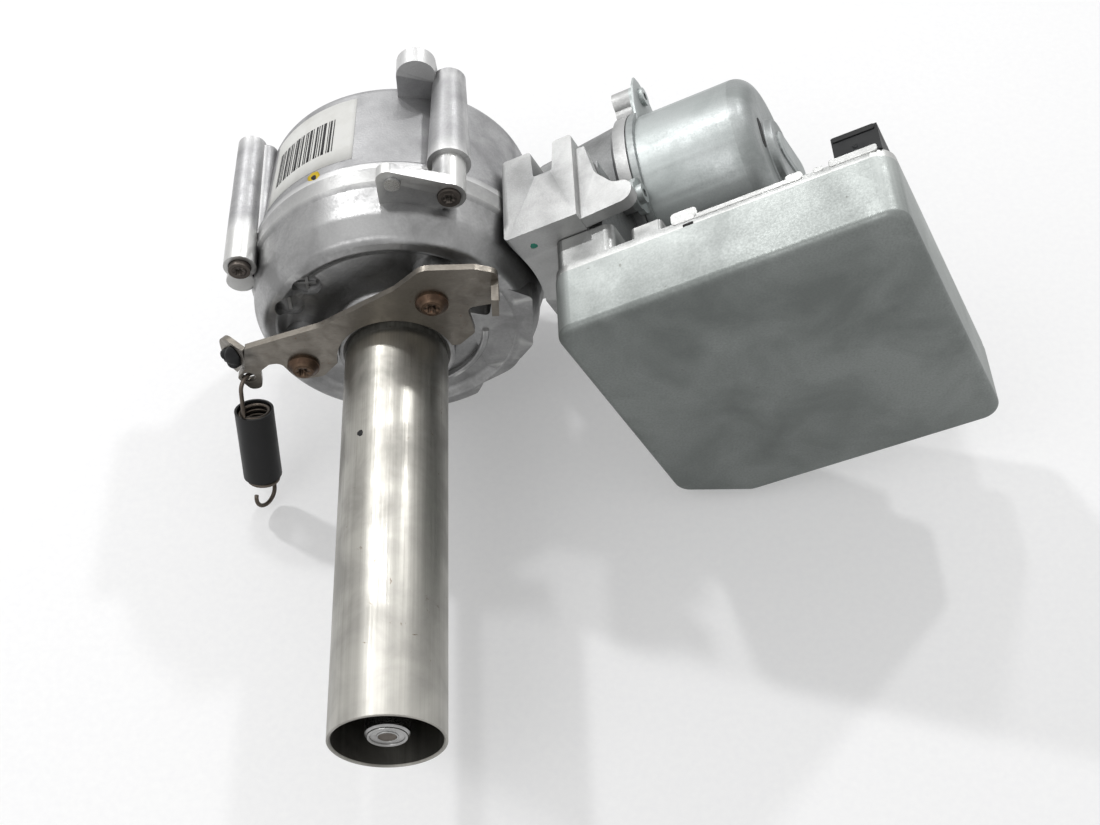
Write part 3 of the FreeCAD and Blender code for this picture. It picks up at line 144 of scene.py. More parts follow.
class Surface:
    """A material while it is put together from nodes in the object's own coordinates."""

    def __init__(self, name: str) -> None:
        """Start a material with an empty node tree.

        Args:
            name: Real material and how it was made.
        """
        self.material = bpy.data.materials.new(name)
        self.material.use_nodes = True
        self.tree = self.material.node_tree
        self.tree.nodes.clear()
        self.place = add_node(self.tree, "ShaderNodeTexCoord").outputs["Object"]

    def noise(self, size_mm: float, detail: float = 4.0, stretch: Point = (1.0, 1.0, 1.0),
              roughness: float = 0.55, distortion: float = 0.0) -> Socket:
        """Give noise whose lumps are about size_mm across.

        Args:
            size_mm: Size of one lump.
            detail: Octaves of finer noise.
            stretch: Frequency along each axis, below one for a longer lump.
            roughness: Strength of the finer octaves.
            distortion: How far the noise is warped by itself.

        Returns:
            The noise value, from zero to one.
        """
        mapped = add_node(self.tree, "ShaderNodeMapping", {"Vector": self.place, "Scale": stretch})
        return add_node(self.tree, "ShaderNodeTexNoise", {
            "Vector": mapped.outputs[0], "Scale": 1000.0 / size_mm, "Detail": detail,
            "Roughness": roughness, "Distortion": distortion}).outputs[0]

    def span(self, value: Socket, low: float, high: float, to_low: float = 0.0,
             to_high: float = 1.0) -> Socket:
        """Stretch a range of a value to another range, and clamp it there.

        Args:
            value: The value to change.
            low: Input that becomes to_low.
            high: Input that becomes to_high.
            to_low: Output at low.
            to_high: Output at high.

        Returns:
            The changed value.
        """
        return add_node(self.tree, "ShaderNodeMapRange", {
            "Value": value, "From Min": low, "From Max": high, "To Min": to_low,
            "To Max": to_high}).outputs[0]

    def times(self, first: Socket, second: Socket | float) -> Socket:
        """Multiply two values."""
        return add_node(self.tree, "ShaderNodeMath", {0: first, 1: second}, operation="MULTIPLY").outputs[0]

    def mix(self, share: Socket, first: Socket | Colour,
            second: Socket | Colour) -> Socket:
        """Mix two colours, the first where share is zero and the second where it is one."""
        return add_node(self.tree, "ShaderNodeMix", {0: share, 6: first, 7: second},
                        data_type="RGBA").outputs[2]

    def edges(self) -> Socket:
        """Give a value that is zero on flat areas and rises to one on sharp edges."""
        return self.span(add_node(self.tree, "ShaderNodeNewGeometry").outputs["Pointiness"], *POINTED)

    def painted_corner_shade(self, reach_mm: float) -> Socket:
        """Give a value that is zero in the open and rises to one in a corner, where shade is painted into the
        colour.
        """
        near = add_node(self.tree, "ShaderNodeAmbientOcclusion", {"Distance": reach_mm * MM}, samples=4)
        return self.span(near.outputs["AO"], *ENCLOSED)

    def bump(self, height: Socket, depth_mm: float) -> Socket:
        """Turn a height from zero to one into a bent normal, with depth_mm as the real height of one."""
        return add_node(self.tree, "ShaderNodeBump", {
            "Height": height, "Distance": depth_mm * MM, "Strength": 1.0}).outputs[0]

    def shader(self, colour: Socket, roughness: Socket, metallic: float,
               normal: Socket, coat: float = 0.0, shine: float = 0.5) -> Socket:
        """Add the surface's shader.

        Args:
            colour: Base colour.
            roughness: Roughness.
            metallic: One for bare metal, and zero for plastic, paper and paint.
            normal: The bent normal.
            coat: Strength of a clear top coat.
            shine: Strength of the reflection where the surface is not metallic.

        Returns:
            The shader's output.
        """
        return add_node(self.tree, "ShaderNodeBsdfPrincipled", {
            "Base Color": colour, "Roughness": roughness, "Metallic": metallic, "Normal": normal,
            "Coat Weight": coat, "Coat Roughness": COAT_ROUGHNESS, "Specular IOR Level": shine}).outputs[0]

    def close(self, shader: Socket) -> Material:
        """Join the shader to the output, and give the finished material."""
        add_node(self.tree, "ShaderNodeOutputMaterial", {"Surface": shader})
        return self.material


@dataclass(frozen=True)
class Metal:
    """Bare, plated or stained metal.

    Attributes:
        name: Real material and how it was made.
        base: Colour of the clean surface.
        shade: Colour of its duller patches.
        stain: Colour of rust or dirt.
        stain_share: How much of the surface the stain covers.
        patch_mm: Size of the duller patches.
        grain: Direction of the fine grain.
        grain_mm: Size of the fine grain.
        depth_mm: Depth of the fine grain.
        smooth: Roughness of the clean surface.
        dull: Roughness of the duller patches.
        edge: Colour of worn or rusted edges.
        edge_share: How much of the edge colour shows.
        shade_reach_mm: How far dirt spreads out of corners.
        patch_span: Noise values where the duller patches start and are full.
        grain_span: The same of the fine grain.
        grain_share: How much of the duller colour the grain takes.
        stain_start: Noise value where stains start on a metal that has none.
        stain_reach: How far a full share of stain lowers it.
        stain_rim: Width of a stain's soft rim, as noise.
        gloss_span: Noise values between which the roughness changes.
        gloss_grain: Noise values of the grain, and what they add to the roughness.
    """

    name: str
    base: str
    shade: str
    stain: str
    stain_share: float = 0.1
    patch_mm: float = 22.0
    grain: Grain = Grain.EVEN
    grain_mm: float = 0.7
    depth_mm: float = 0.03
    smooth: float = 0.35
    dull: float = 0.55
    edge: str = "#D8D8D6"
    edge_share: float = 0.5
    shade_reach_mm: float = 4.0
    patch_span: Flat = (0.38, 0.66)
    grain_span: Flat = (0.35, 0.75)
    grain_share: float = 0.45
    stain_start: float = 0.72
    stain_reach: float = 0.30
    stain_rim: float = 0.07
    gloss_span: Flat = (0.35, 0.65)
    gloss_grain: tuple[float, ...] = (0.3, 0.7, -0.05, 0.06)

    def build(self) -> Material:
        """Make the material.

        Returns:
            The material, with patches, grain, stains, edge wear and painted shade in corners.
        """
        s = Surface(self.name)
        patches = s.noise(self.patch_mm, 5.0, distortion=0.4)
        fine = s.noise(self.grain_mm, 3.0, stretch=self.grain.value)
        colour = s.mix(s.span(patches, *self.patch_span), linear(self.base), linear(self.shade))
        grain = s.span(fine, *self.grain_span, to_high=self.grain_share)
        colour = s.mix(grain, colour, linear(self.shade))
        colour = s.mix(s.times(s.edges(), self.edge_share), colour, linear(self.edge))
        spots = s.noise(self.patch_mm * 0.35, 8.0, roughness=0.72, distortion=0.8)
        start = self.stain_start - self.stain_reach * self.stain_share
        stains = s.span(spots, start, start + self.stain_rim)
        colour = s.mix(stains, colour, linear(self.stain))
        # painted shade: darker in corners and recesses, from ambient occlusion
        colour = s.mix(s.times(s.painted_corner_shade(self.shade_reach_mm), CORNER_SHADE_SHARE), colour, linear(CORNER_SHADE))
        rough = s.span(patches, *self.gloss_span, self.smooth, self.dull)
        rough = add_node(s.tree, "ShaderNodeMath", {0: rough, 1: s.span(fine, *self.gloss_grain)},
                         operation="ADD").outputs[0]
        return s.close(s.shader(colour, rough, 1.0, s.bump(fine, self.depth_mm)))


@dataclass(frozen=True)
class Moulded:
    """Plastic, rubber, paper or paint.

    Attributes:
        name: Real material and how it was made.
        base: Colour of the clean surface.
        shade: Colour of scuffed or dusty patches.
        grain_mm: Size of the moulded grain.
        depth_mm: Depth of the moulded grain.
        smooth: Roughness of the clean surface.
        dull: Roughness of scuffed patches.
        coat: Strength of a clear coat.
        patch_mm: Size of the scuffed patches.
        patch_span: Noise values where the scuffed patches start and are full.
        patch_share: How much of their colour shows.
        grain_span: Noise values where the grain starts and is full.
        grain_share: How much of the scuffed colour the grain takes.
        edge_share: How much of it the edges take.
        gloss_span: Noise values between which the roughness changes.
    """

    name: str
    base: str
    shade: str
    grain_mm: float = 0.4
    depth_mm: float = 0.02
    smooth: float = 0.42
    dull: float = 0.6
    coat: float = 0.0
    patch_mm: float = 9.0
    patch_span: Flat = (0.45, 0.75)
    patch_share: float = 0.7
    grain_span: Flat = (0.4, 0.8)
    grain_share: float = 0.25
    edge_share: float = 0.4
    gloss_span: Flat = (0.35, 0.7)

    def build(self) -> Material:
        """Make the material.

        Returns:
            The material, with a moulded grain, scuffed patches and pale edges.
        """
        s = Surface(self.name)
        shade = linear(self.shade)
        patches = s.noise(self.patch_mm, 4.0)
        fine = s.noise(self.grain_mm, 2.0)
        colour = s.mix(s.span(patches, *self.patch_span, to_high=self.patch_share), linear(self.base), shade)
        colour = s.mix(s.span(fine, *self.grain_span, to_high=self.grain_share), colour, shade)
        colour = s.mix(s.times(s.edges(), self.edge_share), colour, shade)
        rough = s.span(patches, *self.gloss_span, self.smooth, self.dull)
        return s.close(s.shader(colour, rough, 0.0, s.bump(fine, self.depth_mm), self.coat, PLASTIC_SHINE))


# Each finish says what it gives the eye.
FINISHES: dict[str, Metal | Moulded] = {
    # grey drawn steel with long streaks along the tube and a few brown specks
    "drawn_steel": Metal(
        "steel_drawn_tube", "#98968F", "#5E5C57", stain="#5A4630", stain_share=0.26, patch_mm=24.0,
        grain=Grain.DRAWN, grain_mm=0.8, smooth=0.33, dull=0.44, edge="#DAD8D2", shade_reach_mm=5.0),
    # grey satin casting skin with bright rubbed edges
    "front_cast_aluminium": Metal(
        "aluminium_die_cast_satin", "#A0A0A0", "#868686", stain="#5C5A55", stain_share=0.08, patch_mm=15.0,
        grain_mm=1.3, depth_mm=0.07, smooth=0.34, dull=0.46, edge="#D2D2D0", edge_share=0.7),
    # brighter blasted skin with a visible grain
    "rear_cast_aluminium": Metal(
        "aluminium_die_cast_blasted", "#ABABAC", "#919192", stain="#605E5A", stain_share=0.08, patch_mm=14.0,
        grain_mm=0.9, depth_mm=0.09, smooth=0.38, dull=0.54, edge="#D6D6D5", edge_share=0.6),
    # darker matte casting skin
    "mount_cast_aluminium": Metal(
        "aluminium_die_cast_matte", "#8E8F8F", "#747575", stain="#585650", stain_share=0.07, patch_mm=16.0,
        grain_mm=0.9, depth_mm=0.08, smooth=0.42, dull=0.58, edge="#CFCFCE"),
    # clean grey base casting
    "base_cast_aluminium": Metal(
        "aluminium_die_cast_bright", "#999A99", "#7F807F", stain="#605E58", stain_share=0.05, patch_mm=18.0,
        depth_mm=0.05, smooth=0.36, dull=0.5, edge="#DCDCDA"),
    # fine ground shine
    "bearing_steel": Metal(
        "steel_ground", "#BDBDBF", "#9C9C9E", stain="#6E6C68", stain_share=0.02, patch_mm=12.0, grain_mm=0.3,
        depth_mm=0.004, smooth=0.18, dull=0.3),
    # dull turned shaft with oil stains
    "shaft_steel": Metal(
        "steel_turned_oiled", "#9C9C9C", "#777675", stain="#4C4237", patch_mm=10.0, grain_mm=0.4,
        depth_mm=0.01, smooth=0.18, dull=0.36),
    # turned and forged steel
    "forged_steel": Metal(
        "steel_turned", "#A09E9A", "#7D7A75", stain="#5A4E40", stain_share=0.06, patch_mm=14.0, grain_mm=0.5,
        depth_mm=0.01, smooth=0.3, dull=0.45),
    # dark oiled wire
    "spring_steel": Metal(
        "steel_spring_wire", "#4E4741", "#342F2A", stain="#5C3B22", stain_share=0.20, patch_mm=6.0,
        grain_mm=0.3, depth_mm=0.01, dull=0.5, edge="#8C8278"),
    # matte zinc, a little blue, with a soft bloom
    "plated_steel": Metal(
        "steel_zinc_plated", "#9DA0A0", "#898D8C", stain="#5F5E56", stain_share=0.07, patch_mm=20.0,
        grain_mm=0.8, depth_mm=0.015, smooth=0.46, dull=0.60, edge="#CDD3D2"),
    # greenish grey zinc sheet with cloudy bloom and scattered brown spots
    "lid_steel": Metal(
        "steel_sheet_zinc_plated", "#858987", "#707472", stain="#5A5952", stain_share=0.20, patch_mm=40.0,
        grain_mm=1.0, smooth=0.46, dull=0.60, edge="#BDC1BF", edge_share=0.6),
    # grey stamped plate with rust in spots and along its cut edges
    "stamped_steel": Metal(
        "steel_stamped_plate", "#75726D", "#53504C", stain="#6A4328", stain_share=0.30, patch_mm=7.0,
        grain=Grain.ROLLED, grain_mm=0.6, smooth=0.30, dull=0.48, edge="#8E877D", edge_share=0.4,
        shade_reach_mm=3.0),
    # nearly black heads with rust
    "screw_steel": Metal(
        "steel_blackened_rusty", "#433E3A", "#2E2A27", stain="#6B4023", stain_share=0.25, patch_mm=4.0,
        grain_mm=0.3, depth_mm=0.02, smooth=0.4, dull=0.6, edge="#77706A"),
    # brown oxide heads
    "button_steel": Metal(
        "steel_brown_oxide", "#564539", "#3B2F27", stain="#6E4024", stain_share=0.35, patch_mm=5.0,
        grain_mm=0.3, depth_mm=0.02, smooth=0.30, dull=0.5, edge="#85715F"),
    # warm turned brass
    "sensor_brass": Metal(
        "brass_turned", "#C4A867", "#A48B52", stain="#6E5D39", stain_share=0.04, patch_mm=8.0, grain_mm=0.3,
        depth_mm=0.01, smooth=0.25, dull=0.4, edge="#E2CE9A"),
    # stacked sheets, seen as fine lines
    "lamination_steel": Metal(
        "steel_laminated_sheet", "#868789", "#6A6B6D", stain="#4B4843", stain_share=0.05, patch_mm=10.0,
        grain=Grain.ROLLED, grain_mm=0.5, smooth=0.4),
    # glossy enamelled wire, drawn coarser than real so that it shows
    "winding_copper": Metal(
        "copper_enamelled_wire", "#B8693A", "#8F4E2A", stain="#5E3520", stain_share=0.05, patch_mm=6.0,
        grain_mm=0.9, depth_mm=0.2, smooth=0.25, dull=0.4, edge="#D98F5E"),
    # bright turned copper bars
    "commutator_copper": Metal(
        "copper_turned", "#C27E52", "#96603D", stain="#5E4330", stain_share=0.06, patch_mm=6.0,
        grain=Grain.DRAWN, grain_mm=0.6, depth_mm=0.02, smooth=0.22, dull=0.4, edge="#E0A27B"),
    # matte porous bronze
    "bush_bronze": Metal(
        "bronze_sintered", "#A88653", "#8A6C42", stain="#5D4A30", stain_share=0.05, patch_mm=5.0,
        grain_mm=0.3, depth_mm=0.02, smooth=0.4, edge="#C9A673"),
    # bright drawn can
    "capacitor_foil": Metal(
        "aluminium_drawn_can", "#A9ABB0", "#8D8F94", stain="#5F5D5A", stain_share=0.02, patch_mm=8.0,
        grain_mm=0.4, depth_mm=0.01, smooth=0.25, dull=0.4),
    # plain black moulding
    "moulded_coil": Moulded("nylon_glass_filled_black", "#222224", "#3A3A3C"),
    # matte black rubber
    "seal_rubber": Moulded(
        "rubber_nitrile_moulded", "#141414", "#2A2A2A", grain_mm=0.6, smooth=0.6, dull=0.75),
    # creamy cast nylon
    "gear_nylon": Moulded(
        "nylon_cast_hobbed", "#D9CFAE", "#C6B98F", grain_mm=0.5, depth_mm=0.015, smooth=0.35, dull=0.5),
    # black rubbery plastic with a slight gloss
    "coupling_plastic": Moulded(
        "polyurethane_moulded", "#232325", "#3C3C3F", grain_mm=0.5, smooth=0.35, dull=0.5, coat=0.1),
    # dark sintered grey
    "magnet_ferrite": Moulded("ferrite_sintered", "#3A3A3C", "#4C4C4E", grain_mm=0.3, smooth=0.5, dull=0.65),
    # brown moulding
    "brush_plastic": Moulded("phenolic_moulded", "#3B3129", "#51453A", smooth=0.45),
    # green lacquer under a clear coat
    "board_laminate": Moulded(
        "laminate_solder_mask", "#1E5C33", "#2F7446", grain_mm=0.8, depth_mm=0.01, smooth=0.25, dull=0.4,
        coat=0.3),
    # black connector and clip with a faint grey bloom
    "black_plastic": Moulded("nylon_moulded_black", "#0B0C0D", "#17191B", grain_mm=0.35, smooth=0.45),
    # black shrunk sleeve with a soft sheen
    "sleeve_plastic": Moulded(
        "polyolefin_shrunk_sleeve", "#0C0C0D", "#1C1C1D", grain_mm=0.7, depth_mm=0.03, smooth=0.34, dull=0.5),
}
# matte white paper
PAPER = Moulded(
    "paper_label_printed", "#D4D4D1", "#C4C3BE", grain_mm=0.25, depth_mm=0.005, smooth=0.55, dull=0.7)
# printed black
INK = Moulded("ink_black_printed", "#1D1D1F", "#2C2C2E", grain_mm=0.25, depth_mm=0.003, smooth=0.5)
# thick marker paint in three colours
YELLOW_PAINT = Moulded("paint_marker_yellow", "#C8AB12", "#A88D10", grain_mm=0.6, smooth=0.4, dull=0.55)
GREEN_PAINT = Moulded("paint_marker_green", "#2F7F6B", "#276A5A", grain_mm=0.6, smooth=0.4, dull=0.55)
# the black is also used as painted shade in the motor's slot and the rim's notch
BLACK_PAINT_AND_SHADE = Moulded("paint_marker_black_and_painted_shade", "#141414", "#222222", grain_mm=0.5, smooth=0.5, dull=0.7)


def dress_nodes(record: dict, nodes: dict[str, Piece]) -> dict[str, Material]:
    """Give every CAD node the material of its slot.

    Args:
        record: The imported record, which names each node's slot.
        nodes: The CAD nodes by name.

    Returns:
        The materials by slot.
    """
    made = {slot: finish.build() for slot, finish in FINISHES.items()}
    for row in record["subparts"]:
        mesh = nodes[row["node"]].data
        mesh.materials.clear()
        mesh.materials.append(made[row["material_slot"]])
        LOG.info("dressed %s in %s", row["node"], row["material_slot"])
    return made


def mesh_piece(name: str, points: Sequence[Vector], faces: Sequence[Sequence[int]],
               material: Material, body: str, smooth: bool = True) -> Piece:
    """Make a mesh object from points in millimetres and let it ride on a body.

    Args:
        name: Name of the piece.
        points: Corners in the row frame, in millimetres.
        faces: Corner numbers of each face.
        material: Its material.
        body: The CAD body that it rides on.
        smooth: Whether its faces are shaded smooth.

    Returns:
        The new object.
    """
    mesh = bpy.data.meshes.new(name)
    mesh.from_pydata([tuple(p * MM) for p in points], [], faces)
    mesh.materials.append(material)
    for polygon in mesh.polygons:
        polygon.use_smooth = smooth
    mesh.update()
    piece = bpy.data.objects.new(name, mesh)
    bpy.context.scene.collection.objects.link(piece)
    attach(piece, body)
    LOG.info("made %s", name)
    return piece


def polar(radius: float, turn: float) -> Flat:
    """Give the place at an angle in radians on a circle round zero."""
    return radius * math.cos(turn), radius * math.sin(turn)


def around(number: int) -> list[float]:
    """Give evenly spaced angles round a circle, in radians."""
    return [2 * math.pi * i / number for i in range(number)]


def circle(radius: float, number: int) -> list[Flat]:
    """Give evenly spaced places on a circle round zero."""
    return [polar(radius, turn) for turn in around(number)]


def arc(middle: Flat, radius: float, start: float, sweep: float, steps: int) -> list[Flat]:
    """Give the points of an arc with both its ends.

    Args:
        middle: Middle of its circle.
        radius: Its radius.
        start: Angle of its first end, in radians.
        sweep: Angle from one end to the other.
        steps: Number of steps between them.

    Returns:
        The points in turn.
    """
    offsets = [polar(radius, start + sweep * i / steps) for i in range(steps + 1)]
    return [(middle[0] + x, middle[1] + y) for x, y in offsets]


def band_faces(first: int, number: int, bands: int, inward: bool = False) -> list[Sequence[int]]:
    """Give the faces that join rings of corners that follow each other.

    Args:
        first: Number of the first ring's first corner.
        number: Corners in each ring.
        bands: How many bands there are between the rings.
        inward: Whether the faces turn the other way round.

    Returns:
        The corner numbers of each face.
    """
    faces: list[Sequence[int]] = []
    for band in range(bands):
        for i in range(number):
            a = first + band * number + i
            b = first + band * number + (i + 1) % number
            faces.append((a, a + number, b + number, b) if inward else (a, b, b + number, a + number))
    return faces


def dome_faces(number: int, rings: int) -> list[Sequence[int]]:
    """Give the faces of a closed lump, from its top corner down its rings to its flat underside.

    Args:
        number: Corners in each ring.
        rings: How many rings there are.

    Returns:
        The corner numbers of each face.
    """
    faces: list[Sequence[int]] = [(0, 1 + i, 1 + (i + 1) % number) for i in range(number)]
    faces += band_faces(1, number, rings - 1, inward=True)
    faces.append(tuple(range(rings * number, (rings - 1) * number, -1)))
    return faces


def sheet_piece(name: str, spot: Spot, across: int, along: int, thickness: float,
                material: Material) -> Piece:
    """Make a thin closed patch that follows a surface of the housing.

    Args:
        name: Name of the piece.
        spot: Gives the point at two shares, from zero to one, and a height over the surface.
        across: Number of faces in the first direction.
        along: Number of faces in the second direction.
        thickness: Thickness in millimetres.
        material: Its material.

    Returns:
        The new object.
    """
    points = [spot(i / across, k / along, height)
              for height in (thickness, 0.0) for i in range(across + 1) for k in range(along + 1)]
    row = along + 1
    layer = row * (across + 1)
    faces = []
    for i in range(across):
        for k in range(along):
            a = i * row + k
            faces.append((a, a + row, a + row + 1, a + 1))
            faces.append((a + layer, a + layer + 1, a + layer + row + 1, a + layer + row))
    rim = ([i * row for i in range(across + 1)] + [across * row + k for k in range(1, row)]
           + [i * row + along for i in range(across - 1, -1, -1)] + [k for k in range(along - 1, 0, -1)])
    for i, a in enumerate(rim):
        b = rim[(i + 1) % len(rim)]
        faces.append((a, a + layer, b + layer, b))
    return mesh_piece(name, points, faces, material, "housing")


def tube_piece(name: str, path: Sequence[Vector], radius: float, material: Material,
               body: str) -> Piece:
    """Make a round wire along a path, which closes where its last point is its first.

    Args:
        name: Name of the piece.
        path: Points of the wire's middle line, in millimetres.
        radius: Radius of the wire in millimetres.
        material: Its material.
        body: The CAD body that it rides on.

    Returns:
        The new object.
    """
    points: list[Vector] = []
    sides = 10
    side = None
    closed = (path[0] - path[-1]).length < MEETING
    path = path[:-1] if closed else path
    last = len(path) - 1
    for i, spot in enumerate(path):
        before, after = (i - 1, (i + 1) % len(path)) if closed else (max(i - 1, 0), min(i + 1, last))
        ahead = (path[after] - path[before]).normalized()
        if side is None:
            side = ahead.orthogonal().normalized()
        side = (side - ahead * side.dot(ahead)).normalized()
        other = ahead.cross(side)
        points += [spot + side * x + other * y for x, y in circle(radius, sides)]
    bands = band_faces(0, sides, len(path) if closed else last)
    faces: list[Sequence[int]] = [tuple(corner % len(points) for corner in face) for face in bands]
    if not closed:
        faces += [tuple(range(sides - 1, -1, -1)), tuple(range(len(points) - sides, len(points)))]
    return mesh_piece(name, points, faces, material, body)


def from_drive(x: float, y: float, z: float) -> Vector:
    """Turn a place in the drive's own frame to the row frame.

    Args:
        x: Distance along the worm's direction, in millimetres.
        y: Distance along the column.
        z: Height square to both.

    Returns:
        The place in the row frame, in millimetres.
    """
    cos, sin = math.cos(CLOCK), math.sin(CLOCK)
    return Vector((x * cos - z * sin, y, x * sin + z * cos))


def stadium(first: Flat, last: Flat, half: float) -> list[Flat]:
    """Give the outline of a strip with round ends.

    Args:
        first: Middle of one round end.
        last: Middle of the other.
        half: Half of the strip's width.

    Returns:
        The outline's corners, turning left.
    """
    lean = math.atan2(last[1] - first[1], last[0] - first[0])
    return (arc(last, half, lean - math.pi / 2, math.pi, 8)
            + arc(first, half, lean + math.pi / 2, math.pi, 8))


def plate_piece(name: str, outline: Sequence[Flat], spot: Spot, material: Material, body: str,
                thickness: float, bevel: float) -> Piece:
    """Make a flat plate with a softened upper edge.

    Args:
        name: Name of the piece.
        outline: Corners of the plate, turning left as seen from its upper side.
        spot: Gives the point at an outline's place and a height over the plate's underside.
        material: Its material.
        body: The CAD body that it rides on.
        thickness: Thickness in millimetres.
        bevel: Width of the softened edge.

    Returns:
        The new object.
    """
    number = len(outline)
    inner = []
    for i, here in enumerate(outline):
        before = Vector(outline[i - 1])
        after = Vector(outline[(i + 1) % number])
        back = (Vector(here) - before).normalized()
        ahead = (after - Vector(here)).normalized()
        inward = Vector((-back.y - ahead.y, back.x + ahead.x)).normalized()
        inner.append(Vector(here) + inward * bevel)
    layers = ((outline, 0.0), (outline, thickness - bevel * 0.7), (inner, thickness))
    points = [spot(corner[0], corner[1], height) for corners, height in layers for corner in corners]
    faces: list[Sequence[int]] = [tuple(range(number - 1, -1, -1)), tuple(range(2 * number, 3 * number))]
    faces += band_faces(0, number, 2)
    return mesh_piece(name, points, faces, material, body, smooth=False)


@dataclass
class HangingSpring:
    """Tension spring with round turns and a hook at each end.

    Attributes:
        coil_radius: Radius of the wire's middle line in the coils.
        wire: Radius of the wire.
        top: Depth of the first turn below the hole.
        bottom: Depth of the last turn.
        hook_radius: Radius of both hooks.
        hook_turn: Direction of the hooks' plane, in degrees.
        seat: Height of the top hook's wire below the hole's middle.
        tip: Depth of the lower hook's lowest middle line.
        turns: Number of coils.
        steps: Points in each coil.
        top_arc: Angles of the top hook's points, in degrees.
        low_arc: Angles of the lower hook's points.
    """

    coil_radius: float = 6.7
    wire: float = 1.0
    top: float = 19.0
    bottom: float = 57.0
    hook_radius: float = 6.2
    hook_turn: float = 55.0
    seat: float = -0.2
    tip: float = 71.0
    turns: int = 15
    steps: int = 22
    top_arc: range = range(-20, 181, 8)
    low_arc: range = range(0, -201, -8)

    def hook(self, middle: Vector, flat: Vector, degrees: range) -> list[Vector]:
        """Give the wire's middle line round one hook.

        Args:
            middle: Middle of the hook.
            flat: Level direction of its plane.
            degrees: Angles of its points.

        Returns:
            The points, in millimetres.
        """
        places = [polar(self.hook_radius, math.radians(a)) for a in degrees]
        return [middle + flat * x + Vector((0.0, 0.0, y)) for x, y in places]

    def path(self) -> list[Vector]:
        """Give the wire's middle line from hook to hook, in the spring's own frame.

        Returns:
            The points, in millimetres from the hole that it hangs in.
        """
        flat = Vector((*polar(1.0, math.radians(self.hook_turn)), 0.0))
        points = self.hook(Vector((0.0, 0.0, -self.hook_radius - self.seat)), flat, self.top_arc)
        start = math.atan2(-flat.y, -flat.x)
        count = self.turns * self.steps + self.steps // 2
        for i in range(count + 1):
            angle = start + 2 * math.pi * i / self.steps
            depth = self.top + (self.bottom - self.top) * i / count
            points.append(Vector((*polar(self.coil_radius, angle), -depth)))
        low = Vector((0.0, 0.0, self.hook_radius - self.tip))
        return points + self.hook(low, flat, self.low_arc)

    def build(self, material: Material) -> None:
        """Make the spring in the place of its plain CAD solid.

        Args:
            material: Material of the wire.
        """
        lean = Matrix.Rotation(-SPRING_TILT, 4, "X")
        path = [SPRING_HOOK + lean @ p for p in self.path()]
        spring = tube_piece("spring_coils", path, self.wire, material, "spring")
        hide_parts("tilt_spring")


@dataclass
class DriverRecess:
    """Six-lobed driver recess in a screw head that faces the open end.

    Attributes:
        name: Name of the piece.
        x: Place of the head.
        y: Height of the head's face along the column.
        z: Place of the head.
        outer: Outer radius of the ring round the recess.
        lobe: Radius of the recess at its lobes.
        waist: Radius of the recess between its lobes.
        lobes: Number of lobes.
        seat: How far the ring's edge stands over the head.
        proud: How far the ring's face stands over the head.
        slope: Width of the slope between the two.
        depth: Depth of the recess.
    """

    name: str
    x: float
    y: float
    z: float
    outer: float
    lobe: float
    waist: float
    lobes: int = 6
    seat: float = 0.03
    proud: float = 0.22
    slope: float = 0.25
    depth: float = 1.6

    def build(self, material: Material) -> None:
        """Make the ring with the recess in it.

        Args:
            material: Material of the screw.
        """
        number = 72
        middle = (self.lobe + self.waist) / 2
        depth = (self.lobe - self.waist) / 2
        rings = ((self.outer, -self.seat), (self.outer - self.slope, -self.proud), (0.0, -self.proud),
                 (0.0, self.depth))
        points = []
        for radius, height in rings:
            for turn in around(number):
                x, z = polar(radius if radius else middle + depth * math.cos(self.lobes * turn), turn)
                points.append(Vector((self.x + x, self.y + height, self.z + z)))
        faces = band_faces(0, number, len(rings) - 1)
        faces.append(tuple(range(len(points) - number, len(points))))
        mesh_piece(self.name, points, faces, material, "housing")


